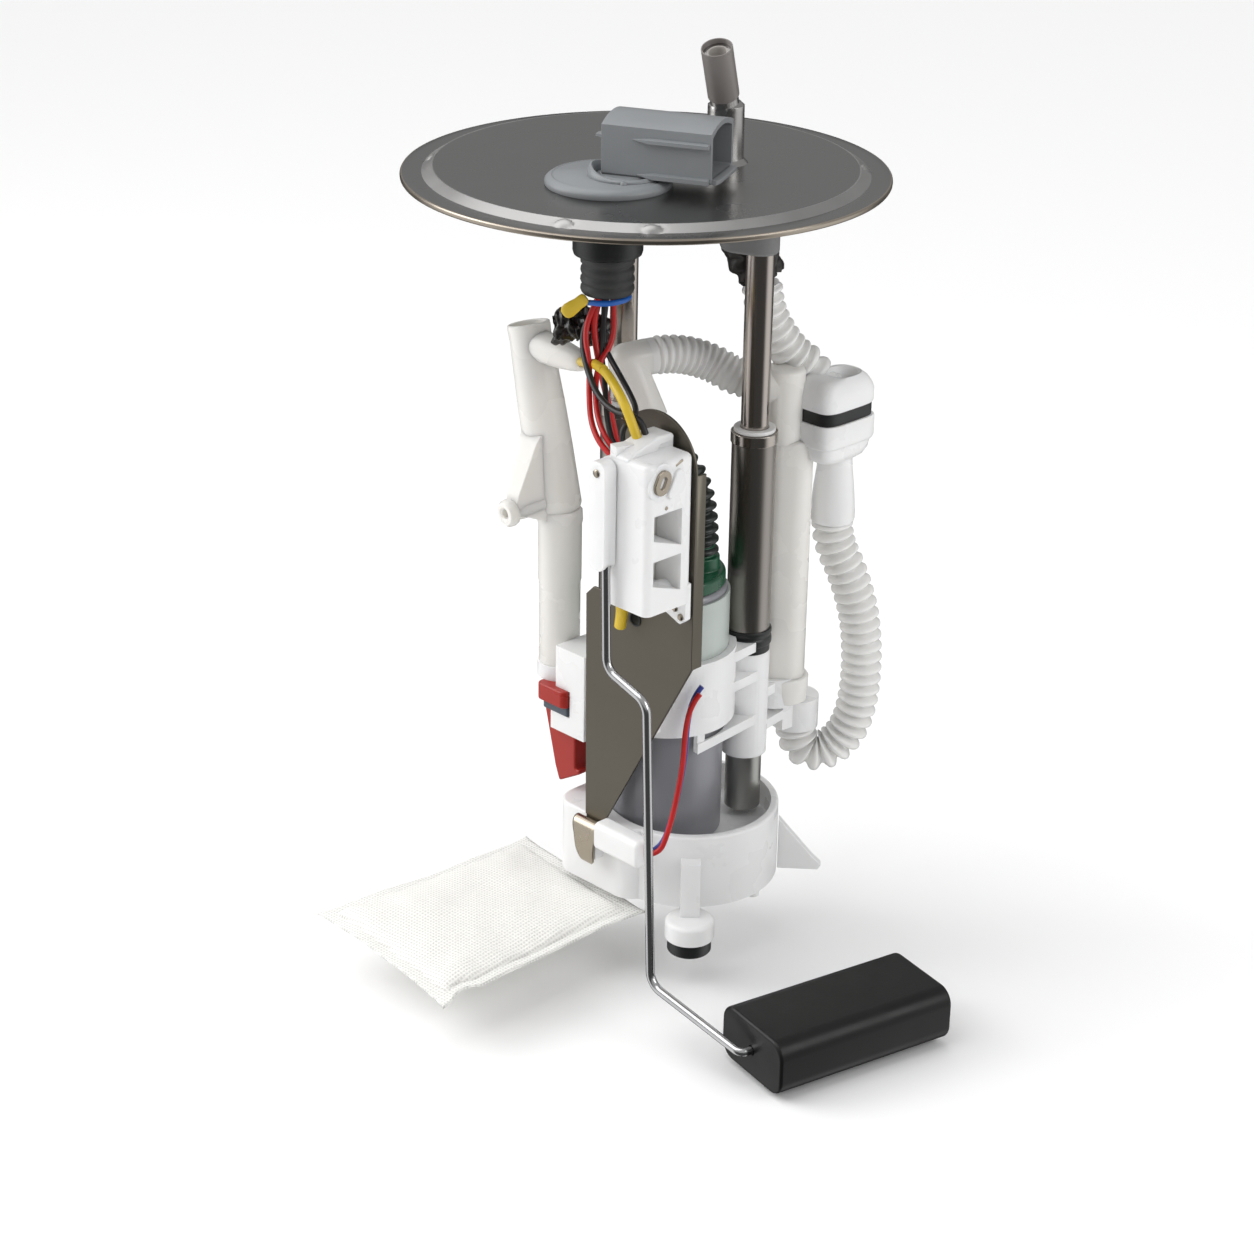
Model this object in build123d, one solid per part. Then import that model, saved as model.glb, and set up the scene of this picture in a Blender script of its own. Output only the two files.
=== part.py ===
"""Fuel pump module: a flange with two guide rods, and a sprung pump carrier with a float sender.

Frame: origin at the centre of the flange's seat, +Z up out of the tank, +X along the sender
bracket's width, +Y from the bracket towards the pump. Millimetres.
"""
from build123d import *
from math import atan2, cos, degrees, hypot, pi, radians, sin, tan
import os

# ---------------------------------------------------------------- driving dimensions
RUN_CLEAR = 0.05          # radial running clearance of sliding and turning fits
FIT_GAP = 0.3             # gap between neighbours that only lie side by side
SHEET = 0.8               # sender bracket sheet

# flange plate, a steel pressing with a raised centre
FLANGE_R = 67.5
FLANGE_T = 1.6
RAISE_H = 1.75
RAISE_R = 58.8
RAISE_FOOT_R = 61.6
DIMPLE_R = 3.3
DIMPLE_DEPTH = 0.5
DIMPLES = [(-46.7, -37.4), (26.2, -56.6), (44.6, -42.0), (39.7, 43.6)]

# outlet nozzle
NOZZLE_XY = (12.8, 17.6)
NOZZLE_R = 5.25
NOZZLE_H = 17.0
NECK_R = 3.95
BORE_R = 2.9
NECK_LEN = 19.5
NECK_TILT = 23.0
NECK_HEADING = -68.0
SLEEVE_R = 4.35
SLEEVE_LEN = 15.6
TAIL_LEN = 12.0

# connector on the flange
CONN_XY = (8.2, -22.3)
CONN_DISC_R = 17.2
CONN_DISC_T = 2.4
CONN_NECK_XY = (7.3, -16.5)
CONN_NECK_R = 9.2
CONN_NECK_TOP = 6.6
SHROUD_XY = (17.9, -10.1)
SHROUD_TURN = 26.0
SHROUD_L = 30.7
SHROUD_D = 19.0
SHROUD_H = 13.6
SHROUD_WALL = 1.3
TERMINALS = 4

# wire boot under the flange
COLLAR_R = 10.0
COLLAR_H = 8.0
BOOT_R = 7.6
BOOT_H = 19.0
BOOT_RIBS = 5

# telescoping guides
ROD_R = 3.97
ROD_LEN = 89.75
GUIDES = {"right": (29.4, 15.5), "left": (-12.5, 4.5)}
BOSS_R = 5.2
BOSS_REACH = (23.5, 13.3)
BOSS_H = 20.0
TUBE_R = 6.35
TUBE_WALL = 0.9
TUBE_TOP = -70.0
TUBE_SHOULDER = -137.0
TIP_R = 5.3
TIP_BOTTOM = -188.0
BUSH_LIP = 1.2
PISTON_LEN = 6.0
RING_R = 6.75
RING_H = 3.2
LOW_COLLAR_R = 6.95
LOW_COLLAR_H = 7.0
SPRING_WIRE = 1.2
SPRING_TURNS = 8

# pump
PUMP_XY = (19.5, -7.3)
PUMP_R = 16.5
PUMP_TOP = -112.0
PUMP_BOTTOM = -190.2
PUMP_SLEEVE_T = 0.9
PUMP_SLEEVE_BOTTOM = -150.0
CAP_R = 16.0
CAP_H = 11.0
OUTLET_XY = (25.7, -1.3)

# carrier ring, guide bosses and arms
RING_WALL = 2.2
RING_TOP = -131.0
RING_BOTTOM = -153.0
GUIDE_BOSS_R = 6.6
GUIDE_BOSS_BOTTOM = -170.0
ARM_T = 3.0

# foot
FOOT_XY = (45.2, -22.1)
FOOT_STEM_W = 5.6
FOOT_STEM_TOP = -189.0
FOOT_RING_R = 7.2
FOOT_RING_TOP = -206.0
FOOT_RING_H = 6.0
BUMPER_R = 6.4
BUMPER_H = 4.5
BUMPER_PEG_R = 2.0

# sender bracket, in the plane Y = BRACKET_Y
BRACKET_Y = -31.0
BRACKET_LOW_X = 10.0
BRACKET_HIGH_X = 51.8
BRACKET_BOTTOM = -182.1
BRACKET_STEP = -109.6
BRACKET_DOME_X = 22.4
BRACKET_TOP = -51.1
BRACKET_DIAG_TOP = -122.4
BRACKET_TOE = 8.4
BRACKET_LIP = 4.0

# reservoir cup
CUP_XY = (23.3, -0.7)
CUP_R = 26.3
CUP_WALL = 2.2
CUP_TOP = -182.4
CUP_FLOOR_T = 15.5
CUP_BOTTOM = -205.0
LOBE_X = -4.0
LOBE_Y = BRACKET_Y + SHEET
LOBE_CORNER = 7.0

# sender housing
HOUSING_X = (36.6, 51.9)
HOUSING_Y = (-49.0, -31.8)
HOUSING_TOP = -58.5
HOUSING_BOTTOM = -101.5
WINDOW_TOPS = (-73.0, -86.0)
WINDOW_H = 10.6
WINDOW_DEPTH = 10.0

# float arm and float
ARM_PIVOT = (37.2, -63.0)
ARM_WIRE_R = 1.25
ARM_Y = -51.6
ARM_KNEE = (39.7, -119.4)
ARM_STEP = (55.2, -124.4)
ARM_TURN = (58.9, -209.9)
ARM_END = (93.9, -216.5)
ARM_BEND_R = 5.0
PIVOT_R = 1.6
HOLDER_W = 6.4
HOLDER_T = 4.4
HOLDER_LEN = 31.0
FLOAT_L = 58.0
FLOAT_W = 28.5
FLOAT_T = 16.5
FLOAT_EDGE = 5.0
FLOAT_TILT = -12.5
FLOAT_PIN_LEN = 30.0
FLOAT_STANDOFF = 3.4

# standpipe
PIPE_R = 5.7
PIPE_BORE_R = 4.7
PIPE_FOOT = (-12.7, -19.8)
PIPE_BOTTOM = -146.5
PIPE_KNEE = -100.0
PIPE_TOP = (-26.3, -44.0)
STUB_R = 4.4
STUB_LEN = 18.5
BARB_R = 3.2

# riser elbow, hoses and pressure valve
HOSE_R = 5.5
HOSE_BORE_R = 4.2
SPIGOT_R = 4.15
SPIGOT_LEN = 3.0
ELBOW_R = 5.2
ELBOW_CORNER = (0.4, -7.0, -51.9)
ELBOW_FOOT = (8.2, -4.9, -67.5)
ELBOW_HEAD = (3.0, -1.2, -51.2)
CANISTER_XY = (27.2, 30.0)
CANISTER_R = 5.8
CANISTER_TOP = -55.0
COLUMN_SHIFT = 3.2
COLUMN_R = 4.4
COLUMN_TOP = -76.0
CANISTER_BOTTOM = -156.0
VALVE_XY = (35.4, 42.3)
VALVE_L = 22.0
VALVE_W = 15.0
VALVE_TOP = -57.5
VALVE_BAND_TOP = -66.5
VALVE_BAND_H = 4.0
VALVE_BOTTOM = -83.0
VALVE_TAIL_R = 5.6
VALVE_INLET = (29.6, 41.2, -60.4)
VALVE_OUTLET = (34.0, 45.2, -103.0)

# filter sock
SOCK_Z = -208.6
SOCK_SEAM = 8.0
SOCK_BULGE = 4.4
SOCK_FILM = 0.7
SOCK_CORNERS = [(-33.7, -96.0), (-26.5, -20.0), (30.6, -25.3), (30.5, -103.5)]

# lower hose block and small fittings
BLOCK_XY = (28.0, 39.3)
BLOCK_R = 6.9
BLOCK_POCKET = 4.0
BLOCK_TOP = -160.2
BLOCK_BOTTOM = -170.0
HOLDER_RING_R = 7.4
HOLDER_RING_H = 9.0
CHECK_XY = (-9.6, -22.6)
WING_LEN = 12.0
WING_T = 3.0
WING_TOP = -188.0
WING_BOTTOM = -204.5
CLIP_X = (9.4, 18.0)
CLIP_T = 0.7
BAR_X = (19.4, 37.4)
BAR_H = 8.6
BAR_TOP = -179.8
CARD_T = 0.6

# ---------------------------------------------------------------- helpers
def at(x, y, z=0.0):
    """A place in the part's frame."""
    return Location((x, y, z))


def disc(radius, z_low, z_high, xy=(0.0, 0.0)):
    """A round bar standing on +Z between two heights."""
    return at(xy[0], xy[1], z_low) * extrude(Circle(radius), z_high - z_low)


def ring(outer, inner, z_low, z_high, xy=(0.0, 0.0)):
    """A round tube standing on +Z between two heights."""
    return disc(outer, z_low, z_high, xy) - disc(inner, z_low - 1, z_high + 1, xy)


def block(x_span, y_span, z_span):
    """A rectangular block given by its three spans."""
    size = [b - a for a, b in (x_span, y_span, z_span)]
    middle = [(a + b) / 2 for a, b in (x_span, y_span, z_span)]
    return at(*middle) * Box(*size)


def strut(start, end, width, z_low, z_high):
    """An upright web of one width between two plan points, with square ends."""
    span = hypot(end[0] - start[0], end[1] - start[1])
    turn = degrees(atan2(end[1] - start[1], end[0] - start[0]))
    middle = ((start[0] + end[0]) / 2, (start[1] + end[1]) / 2, (z_low + z_high) / 2)
    return at(*middle) * Rot(0, 0, turn) * Box(span, width, z_high - z_low)


def past(start, end, extra):
    """The point that lies a little past end on the straight line from start."""
    run = Vector(*end) - Vector(*start)
    point = Vector(*end) + run.normalized() * extra
    return (point.X, point.Y, point.Z)


def bend_radii(points):
    """Largest arc each corner of a route takes: 0.45 of its shorter run over tan(half the turn)."""
    radii = []
    for before, corner, after in zip(points, points[1:], points[2:]):
        inward = Vector(*corner) - Vector(*before)
        outward = Vector(*after) - Vector(*corner)
        half_turn = radians(inward.get_angle(outward)) / 2
        radii.append(0.45 * min(inward.length, outward.length) / tan(half_turn))
    return radii


def line_along(name, points, radius, bore=0.0):
    """A flexible line: a round section swept along straight runs joined by tangent arcs."""
    radii = bend_radii(points)
    print(name, "bend radii", [round(value, 1) for value in radii])
    path = FilletPolyline(*points, radius=radii)
    section = Plane(origin=path @ 0, z_dir=path % 0) * Circle(radius)
    solid = sweep(section, path=path)
    if bore:
        solid -= sweep(Plane(origin=path @ 0, z_dir=path % 0) * Circle(bore), path=path)
    print(name, "volume over section x length",
          round(solid.volume / (pi * (radius ** 2 - bore ** 2) * path.length), 4))
    return solid


# ---------------------------------------------------------------- flange and what it carries
def flange_plate():
    """Pressed disc with a flat seat, a sloped step and a raised centre."""
    top = FLANGE_T + RAISE_H
    outline = Polyline((0, RAISE_H), (RAISE_R, RAISE_H), (RAISE_FOOT_R, 0), (FLANGE_R, 0),
                       (FLANGE_R, FLANGE_T), (RAISE_FOOT_R, FLANGE_T), (RAISE_R, top), (0, top), close=True)
    plate = revolve(Plane.XZ * make_face(outline), Axis.Z)
    for spot in DIMPLES:
        plate -= disc(DIMPLE_R, top - DIMPLE_DEPTH, top + 1, spot)
        plate -= disc(DIMPLE_R, FLANGE_T - DIMPLE_DEPTH, top + 1, spot) - disc(RAISE_FOOT_R - 1.0, 0, top + 2)
    plate -= disc(NECK_R, -1, top + 1, NOZZLE_XY)
    plate -= disc(BOOT_R - 3.0, -1, top + 1, CONN_XY)
    return plate


def neck_axis():
    """Plane whose normal runs up the tilted neck, from the top of the tapered base."""
    tilt = radians(NECK_TILT)
    heading = radians(NECK_HEADING)
    direction = (sin(tilt) * cos(heading), sin(tilt) * sin(heading), cos(tilt))
    origin = (NOZZLE_XY[0], NOZZLE_XY[1], FLANGE_T + RAISE_H + NOZZLE_H - 3.0)
    return Plane(origin=origin, z_dir=direction)


def outlet_tube():
    """Tapered base welded on the plate, a neck bent forward and a barb under the plate."""
    seat = FLANGE_T + RAISE_H
    outline = Polyline((0, seat), (NOZZLE_R + 1.2, seat), (NOZZLE_R, seat + 1.4), (NOZZLE_R - 0.2, seat + 16.0),
                       (NECK_R, seat + NOZZLE_H), (0, seat + NOZZLE_H), close=True)
    tube = at(*NOZZLE_XY) * revolve(Plane.XZ * make_face(outline), Axis.Z)
    tube += neck_axis() * extrude(Circle(NECK_R), NECK_LEN)
    tube += disc(NECK_R, RAISE_H - TAIL_LEN + 1.6, seat, NOZZLE_XY)
    tube -= neck_axis() * extrude(Circle(BORE_R), NECK_LEN + 1)
    tube -= disc(BORE_R, RAISE_H - TAIL_LEN, seat + NOZZLE_H - 2.5, NOZZLE_XY)
    return tube


def outlet_sleeve():
    """Plastic sleeve pushed over the end of the neck."""
    start = NECK_LEN - SLEEVE_LEN + 1.5
    sleeve = extrude(Circle(SLEEVE_R), SLEEVE_LEN) - extrude(Circle(NECK_R), SLEEVE_LEN)
    return neck_axis() * at(0, 0, start) * sleeve


def connector_base():
    """Moulded foot disc with a bevelled edge and a raised neck."""
    seat = FLANGE_T + RAISE_H
    foot = disc(CONN_DISC_R, seat, seat + CONN_DISC_T, CONN_XY)
    foot = chamfer(foot.edges().group_by(Axis.Z)[-1], 1.2)
    neck = disc(CONN_NECK_R, seat + CONN_DISC_T, CONN_NECK_TOP, CONN_NECK_XY)
    plug = disc(BOOT_R - 3.1, RAISE_H, seat, CONN_XY)
    return foot + neck + plug


def shroud_place():
    """Location of the shroud's inner end, turned on the plate."""
    return at(*SHROUD_XY, CONN_NECK_TOP) * Rot(0, 0, SHROUD_TURN)


def shroud_section(grow=0.0):
    """Section of the shroud across its length: flat floor and sides under a low arch."""
    half = SHROUD_D / 2 + grow
    top = SHROUD_H + grow
    sides = Polyline((-half, top), (-half, -grow), (half, -grow), (half, top))
    arch = ThreePointArc((half, top), (0, top + 2.0), (-half, top))
    return make_face([*sides.edges(), *arch.edges()])


def connector_shroud():
    """Plug housing: a thin walled box, closed at one end, open along +X of its own frame."""
    lie = Plane(origin=(-SHROUD_L / 2, 0, 0), x_dir=(0, 1, 0), z_dir=(1, 0, 0))
    shell = lie * extrude(shroud_section(), SHROUD_L)
    hollow = lie.offset(SHROUD_WALL * 2) * extrude(shroud_section(-SHROUD_WALL), SHROUD_L)
    ribs = Part()
    for z in (0.6, SHROUD_H - 0.6):
        ribs += at(0, -SHROUD_D / 2 - 0.7, z) * Box(SHROUD_L * 0.66, 1.5, 1.2)
    tab = at(-SHROUD_L / 2 - 1.4, -SHROUD_D / 4, SHROUD_H - 4.5) * Box(3.0, 4.0, 1.2)
    return shroud_place() * (shell - hollow + ribs + tab)


def connector_terminals():
    """Blade terminals that stand in the socket, rooted in its closed end."""
    blades = Part()
    pitch = (SHROUD_D - 6.0) / TERMINALS
    for index in range(TERMINALS):
        y = (index - (TERMINALS - 1) / 2) * pitch
        blades += at(-SHROUD_L / 2 + SHROUD_WALL * 2 + 6.0, y, SHROUD_H / 2) * Box(12.0, 0.8, 2.4)
    return shroud_place() * blades


def wire_boot_collar():
    """Rubber collar that seals the wires against the underside of the plate."""
    return ring(COLLAR_R, 4.0, RAISE_H - COLLAR_H, RAISE_H, CONN_XY)


def wire_boot():
    """Ribbed rubber boot below the collar."""
    top = RAISE_H - COLLAR_H
    boot = ring(BOOT_R - 1.0, 4.0, top - BOOT_H, top, CONN_XY)
    pitch = BOOT_H / BOOT_RIBS
    for index in range(BOOT_RIBS):
        low = top - (index + 1) * pitch + 0.6
        boot += ring(BOOT_R, 4.0, low, low + pitch * 0.55, CONN_XY)
    return boot


def guide_boss(side):
    """Round boss that holds the top of a guide rod against the plate."""
    low = RAISE_H - BOSS_H
    boss = disc(BOSS_R, low, RAISE_H, GUIDES[side])
    if side == "right":
        boss += disc(BOSS_R, low, RAISE_H, BOSS_REACH)
        boss += strut(GUIDES[side], BOSS_REACH, BOSS_R * 2, low, RAISE_H)
    boss = chamfer(boss.edges().group_by(Axis.Z)[0], 0.6)
    return boss - disc(ROD_R, low - 1, RAISE_H + 1, GUIDES[side])


def guide_rod(side):
    """Polished rod that hangs from the plate."""
    rod = disc(ROD_R, RAISE_H - ROD_LEN, RAISE_H, GUIDES[side])
    return chamfer(rod.edges().group_by(Axis.Z)[0], 0.5)


def rod_piston(side):
    """Plastic piston clipped on the rod's end; it stops the rod leaving its tube."""
    end = RAISE_H - ROD_LEN
    piston = disc(TUBE_R - TUBE_WALL - RUN_CLEAR * 2, end - PISTON_LEN, end, GUIDES[side])
    return chamfer(piston.edges().group_by(Axis.Z)[0], 0.6)


# ---------------------------------------------------------------- telescoping tubes
def guide_tube(side):
    """Steel tube with a bore for rod and spring, swaged down to a tip."""
    upper = disc(TUBE_R, TUBE_SHOULDER, TUBE_TOP, GUIDES[side])
    tip = disc(TIP_R, TIP_BOTTOM, TUBE_SHOULDER, GUIDES[side])
    bore = disc(TUBE_R - TUBE_WALL, TUBE_SHOULDER + TUBE_WALL, TUBE_TOP + 1, GUIDES[side])
    tip_bore = disc(TIP_R - TUBE_WALL, TIP_BOTTOM + TUBE_WALL, TUBE_SHOULDER + 2, GUIDES[side])
    return upper + tip - bore - tip_bore


def guide_bush(side):
    """Lipped plastic bush in the tube's mouth, a running fit on the rod; its foot stops the piston."""
    low = RAISE_H - ROD_LEN
    bush = disc(TUBE_R - TUBE_WALL, low, TUBE_TOP, GUIDES[side])
    bush += disc(TUBE_R - 0.4, TUBE_TOP, TUBE_TOP + BUSH_LIP, GUIDES[side])
    return bush - disc(ROD_R + RUN_CLEAR, low - 1, TUBE_TOP + 2, GUIDES[side])


def tube_ring(side):
    """Rolled steel ring crimped round the tube's mouth."""
    return ring(RING_R, TUBE_R, TUBE_TOP - RING_H, TUBE_TOP, GUIDES[side])


def tube_collar(side):
    """Dark rubber collar where the tube enters the carrier's boss."""
    return ring(LOW_COLLAR_R, TUBE_R, TUBE_SHOULDER, TUBE_SHOULDER + LOW_COLLAR_H, GUIDES[side])


def guide_spring(side):
    """Compression spring between the piston and the tube's shoulder."""
    low = TUBE_SHOULDER + TUBE_WALL + SPRING_WIRE / 2
    high = RAISE_H - ROD_LEN - PISTON_LEN - SPRING_WIRE / 2
    coil_r = TUBE_R - TUBE_WALL - 0.35 - SPRING_WIRE / 2
    path = Helix(pitch=(high - low) / SPRING_TURNS, height=high - low, radius=coil_r)
    section = Plane(origin=path @ 0, z_dir=path % 0) * Circle(SPRING_WIRE / 2)
    return at(GUIDES[side][0], GUIDES[side][1], low) * sweep(section, path=path)


# ---------------------------------------------------------------- pump
def pump_can():
    """Drawn can of the pump motor."""
    can = disc(PUMP_R, PUMP_BOTTOM, PUMP_TOP, PUMP_XY)
    return fillet(can.edges().group_by(Axis.Z)[0] + can.edges().group_by(Axis.Z)[-1], 1.5)


def pump_inlet():
    """Inlet spigot under the can; it passes through the cup's floor into the filter."""
    return ring(4.4, 3.0, CUP_BOTTOM - 0.2, PUMP_BOTTOM, PUMP_XY)


def pump_sleeve():
    """Soft sleeve round the upper part of the can."""
    return ring(PUMP_R + PUMP_SLEEVE_T, PUMP_R + 0.02, PUMP_SLEEVE_BOTTOM, PUMP_TOP - 2.0, PUMP_XY)


def pump_cap():
    """End cap with the outlet spigot."""
    cap = disc(CAP_R, PUMP_TOP, PUMP_TOP + 4.0, PUMP_XY)
    cap = fillet(cap.edges().group_by(Axis.Z)[-1], 1.2)
    cap += disc(HOSE_R, PUMP_TOP, PUMP_TOP + CAP_H - SPIGOT_LEN, OUTLET_XY)
    cap += disc(SPIGOT_R, PUMP_TOP, PUMP_TOP + CAP_H, OUTLET_XY)
    return cap - disc(SPIGOT_R - 1.2, PUMP_TOP + 1.0, PUMP_TOP + CAP_H + 1, OUTLET_XY)


def riser_hose():
    """Ribbed hose from the pump's outlet up to the elbow."""
    x, y = OUTLET_XY
    route = [(x, y, PUMP_TOP + CAP_H - SPIGOT_LEN), (x, y, -92.0), (21.2, -1.9, -80.0),
             past(ELBOW_CORNER, ELBOW_FOOT, 9.0), ELBOW_FOOT]
    return line_along("riser_hose", route, HOSE_R - 0.5, HOSE_BORE_R)


def riser_elbow():
    """White elbow that turns the riser into the cross hose."""
    foot = Vector(*ELBOW_FOOT)
    corner = Vector(*ELBOW_CORNER)
    head = Vector(*ELBOW_HEAD)
    elbow = Part()
    for start, end in ((foot, corner), (corner, head)):
        elbow += Plane(origin=start, z_dir=end - start) * extrude(Circle(ELBOW_R), (end - start).length)
    elbow += at(*corner) * Sphere(ELBOW_R)
    for tip in (foot, head):
        elbow += Plane(origin=tip, z_dir=tip - corner) * extrude(Circle(SPIGOT_R), SPIGOT_LEN)
        elbow -= Plane(origin=corner, z_dir=tip - corner) * extrude(Circle(SPIGOT_R - 1.2), 40.0)
    return elbow


def cross_hose():
    """Ribbed hose from the elbow behind the right rod to the filter canister."""
    spigot = canister_spigot()
    route = [ELBOW_HEAD, past(ELBOW_CORNER, ELBOW_HEAD, 8.0), (11.2, 15.4, -54.0),
             tuple(spigot.origin + spigot.z_dir * 7.0), tuple(spigot.origin)]
    return line_along("cross_hose", route, HOSE_R, HOSE_BORE_R)


# ---------------------------------------------------------------- carrier
def arm_plate(corners, z_low, z_high):
    """A flat web of the carrier with the given plan corners."""
    return at(0, 0, z_low) * extrude(make_face(Polyline(*corners, close=True)), z_high - z_low)


def carrier():
    """Moulded ring round the pump, with the guide bosses, arms and holders on it."""
    inner = PUMP_R + PUMP_SLEEVE_T + 0.08
    outer = inner + RING_WALL
    body = disc(outer, RING_BOTTOM, RING_TOP, PUMP_XY)
    right, left = GUIDES["right"], GUIDES["left"]
    for side in (right, left):
        body += disc(GUIDE_BOSS_R, GUIDE_BOSS_BOTTOM, TUBE_SHOULDER, side)
    reach = PUMP_XY[0] + outer - 1.0
    shelf = [PUMP_XY, (reach, PUMP_XY[1] - 6.0), (right[0] + GUIDE_BOSS_R - 0.4, right[1]), right]
    for top in (RING_TOP - 1.5, RING_TOP - 11.0, RING_BOTTOM - 3.0):
        body += arm_plate(shelf, top - ARM_T, top)
    web_y = (PUMP_XY[1] - 5.6, PUMP_XY[1] - 2.6)
    body += block((PUMP_XY[0], reach - 0.6), web_y, (RING_BOTTOM - 3.0 - ARM_T, RING_TOP - 11.0))
    for top in (RING_TOP - 12.0, RING_BOTTOM - 1.0):
        body += strut(PUMP_XY, left, 7.0, top - ARM_T, top)
    canister_low = CANISTER_BOTTOM - 3.0
    body += disc(HOLDER_RING_R, canister_low, canister_low + HOLDER_RING_H, CANISTER_XY)
    body += disc(BLOCK_R, BLOCK_BOTTOM, BLOCK_TOP, BLOCK_XY)
    body += strut(CANISTER_XY, BLOCK_XY, 9.0, BLOCK_BOTTOM + 2.0, canister_low + 1.0)
    for top in (canister_low + HOLDER_RING_H - 0.6, BLOCK_TOP - 1.0):
        body += strut(right, CANISTER_XY, 9.0, top - ARM_T, top)
    pipe_holder = (PIPE_FOOT[0], PIPE_FOOT[1])
    body += disc(PIPE_R + 0.8, PIPE_BOTTOM - 2.0, PIPE_BOTTOM + 2.5, pipe_holder)
    body += strut(PUMP_XY, pipe_holder, 6.0, PIPE_BOTTOM - 2.0, PIPE_BOTTOM + 2.5)
    body += block((CHECK_XY[0] + 3.1, CHECK_XY[0] + 15.0), (CHECK_XY[1] - 4.4, CHECK_XY[1] + 7.6),
                  (PIPE_BOTTOM - 2.0, PIPE_BOTTOM + 11.0))
    body += block((CHECK_XY[0] + 1.0, CHECK_XY[0] + 15.0), (CHECK_XY[1] - 4.4, CHECK_XY[1] - 1.2),
                  (PIPE_BOTTOM - 16.0, PIPE_BOTTOM - 10.4))
    body += block((CHECK_XY[0] + 9.0, CHECK_XY[0] + 15.0), (CHECK_XY[1] - 4.4, CHECK_XY[1] + 5.0),
                  (PIPE_BOTTOM - 16.0, PIPE_BOTTOM))
    body += block((PUMP_XY[0] - 2.0, PUMP_XY[0] + 14.0), (BRACKET_Y + SHEET, PUMP_XY[1] - PUMP_R),
                  (RING_BOTTOM + 3.0, RING_BOTTOM + 13.0))
    body -= disc(inner, RING_BOTTOM - 20, RING_TOP + 1, PUMP_XY)
    for side in (right, left):
        body -= disc(TIP_R + RUN_CLEAR, GUIDE_BOSS_BOTTOM - 1, TUBE_SHOULDER + 1, side)
        body -= disc(LOW_COLLAR_R + FIT_GAP, TUBE_SHOULDER, RING_TOP + 1, side)
    body -= disc(HOSE_R + RUN_CLEAR, BLOCK_BOTTOM - 1, BLOCK_BOTTOM + BLOCK_POCKET, BLOCK_XY)
    body -= disc(CANISTER_R + RUN_CLEAR, CANISTER_BOTTOM, CANISTER_BOTTOM + 30, CANISTER_XY)
    body -= disc(PIPE_R + RUN_CLEAR, PIPE_BOTTOM, PIPE_BOTTOM + 30, pipe_holder)
    return body


def standpipe():
    """Fill standpipe: an upright foot, a leaning upper run, a side stub and a barb on a web."""
    foot = Vector(*PIPE_FOOT, PIPE_BOTTOM)
    knee = Vector(*PIPE_FOOT, PIPE_KNEE)
    top = Vector(PIPE_TOP[0], PIPE_FOOT[1], PIPE_TOP[1])
    shell, bore = Part(), Part()
    for start, end in ((foot, knee), (knee, top)):
        run = Plane(origin=start, z_dir=end - start)
        shell += run * extrude(Circle(PIPE_R), (end - start).length)
    bore += Plane(origin=knee, z_dir=top - knee) * extrude(Circle(PIPE_BORE_R), (top - knee).length + 2)
    shell += at(*knee) * Sphere(PIPE_R)
    stub_root = Vector(top.X + 0.8, top.Y, top.Z - 5.9)
    shell += Plane(origin=stub_root, z_dir=(1, 0, -0.06)) * extrude(Circle(STUB_R), STUB_LEN)
    bore += Plane(origin=stub_root, z_dir=(1, 0, -0.06)) * extrude(Circle(STUB_R - 1.3), STUB_LEN + 1)
    barb_root = Vector(knee.X - 1.0, knee.Y, knee.Z + 6.0)
    shell += Plane(origin=barb_root, z_dir=(0, -1, -0.12)) * extrude(Circle(BARB_R), 17.0)
    bore += Plane(origin=barb_root, z_dir=(0, -1, -0.12)) * extrude(Circle(BARB_R - 1.3), 18.0)
    gusset = Polyline((knee.Y, knee.Z + 24.0), (knee.Y - 5.5, knee.Z + 24.0), (knee.Y - 17.0, knee.Z + 6.0),
                      (knee.Y - 17.0, knee.Z + 2.6), (knee.Y, knee.Z - 4.0), close=True)
    web = Plane.YZ.offset(knee.X - 3.6) * extrude(make_face(gusset), 3.2)
    return shell + web - bore


def canister_spigot():
    """Plane at the root of the canister's inlet spigot, normal out towards the cross hose."""
    out = Vector(-0.64, -0.74, 0.2).normalized()
    return Plane(origin=Vector(*CANISTER_XY, CANISTER_TOP - 6.2) + out * (CANISTER_R + 1.4), z_dir=out)


def filter_canister():
    """Upright tube that feeds the pressure valve, with an inlet spigot and a side column."""
    body = disc(CANISTER_R, CANISTER_BOTTOM, CANISTER_TOP, CANISTER_XY)
    body = fillet(body.edges().group_by(Axis.Z)[-1], 1.5)
    body += disc(COLUMN_R, CANISTER_BOTTOM + 12.0, COLUMN_TOP, column_xy())
    spigot = canister_spigot()
    body += spigot.offset(-CANISTER_R) * extrude(Circle(HOSE_R), CANISTER_R)
    return body + spigot * extrude(Circle(SPIGOT_R), SPIGOT_LEN)


def column_xy():
    """Plan place of the column beside the canister."""
    return (CANISTER_XY[0] + COLUMN_SHIFT, CANISTER_XY[1] + COLUMN_SHIFT)


def canister_space():
    """Room that the valve leaves for the canister and its column."""
    space = disc(CANISTER_R + RUN_CLEAR, CANISTER_BOTTOM, VALVE_TOP + 5, CANISTER_XY)
    return space + disc(COLUMN_R + RUN_CLEAR, CANISTER_BOTTOM, COLUMN_TOP, column_xy())


def check_cap():
    """Red retainer of the fill check valve."""
    cap = block((CHECK_XY[0] - 3.4, CHECK_XY[0] + 8.6), (CHECK_XY[1] - 6.4, CHECK_XY[1] + 5.6),
                (PIPE_BOTTOM - 7.4, PIPE_BOTTOM - 2.0))
    return fillet(cap.edges().filter_by(Axis.Z), 2.0)


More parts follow.
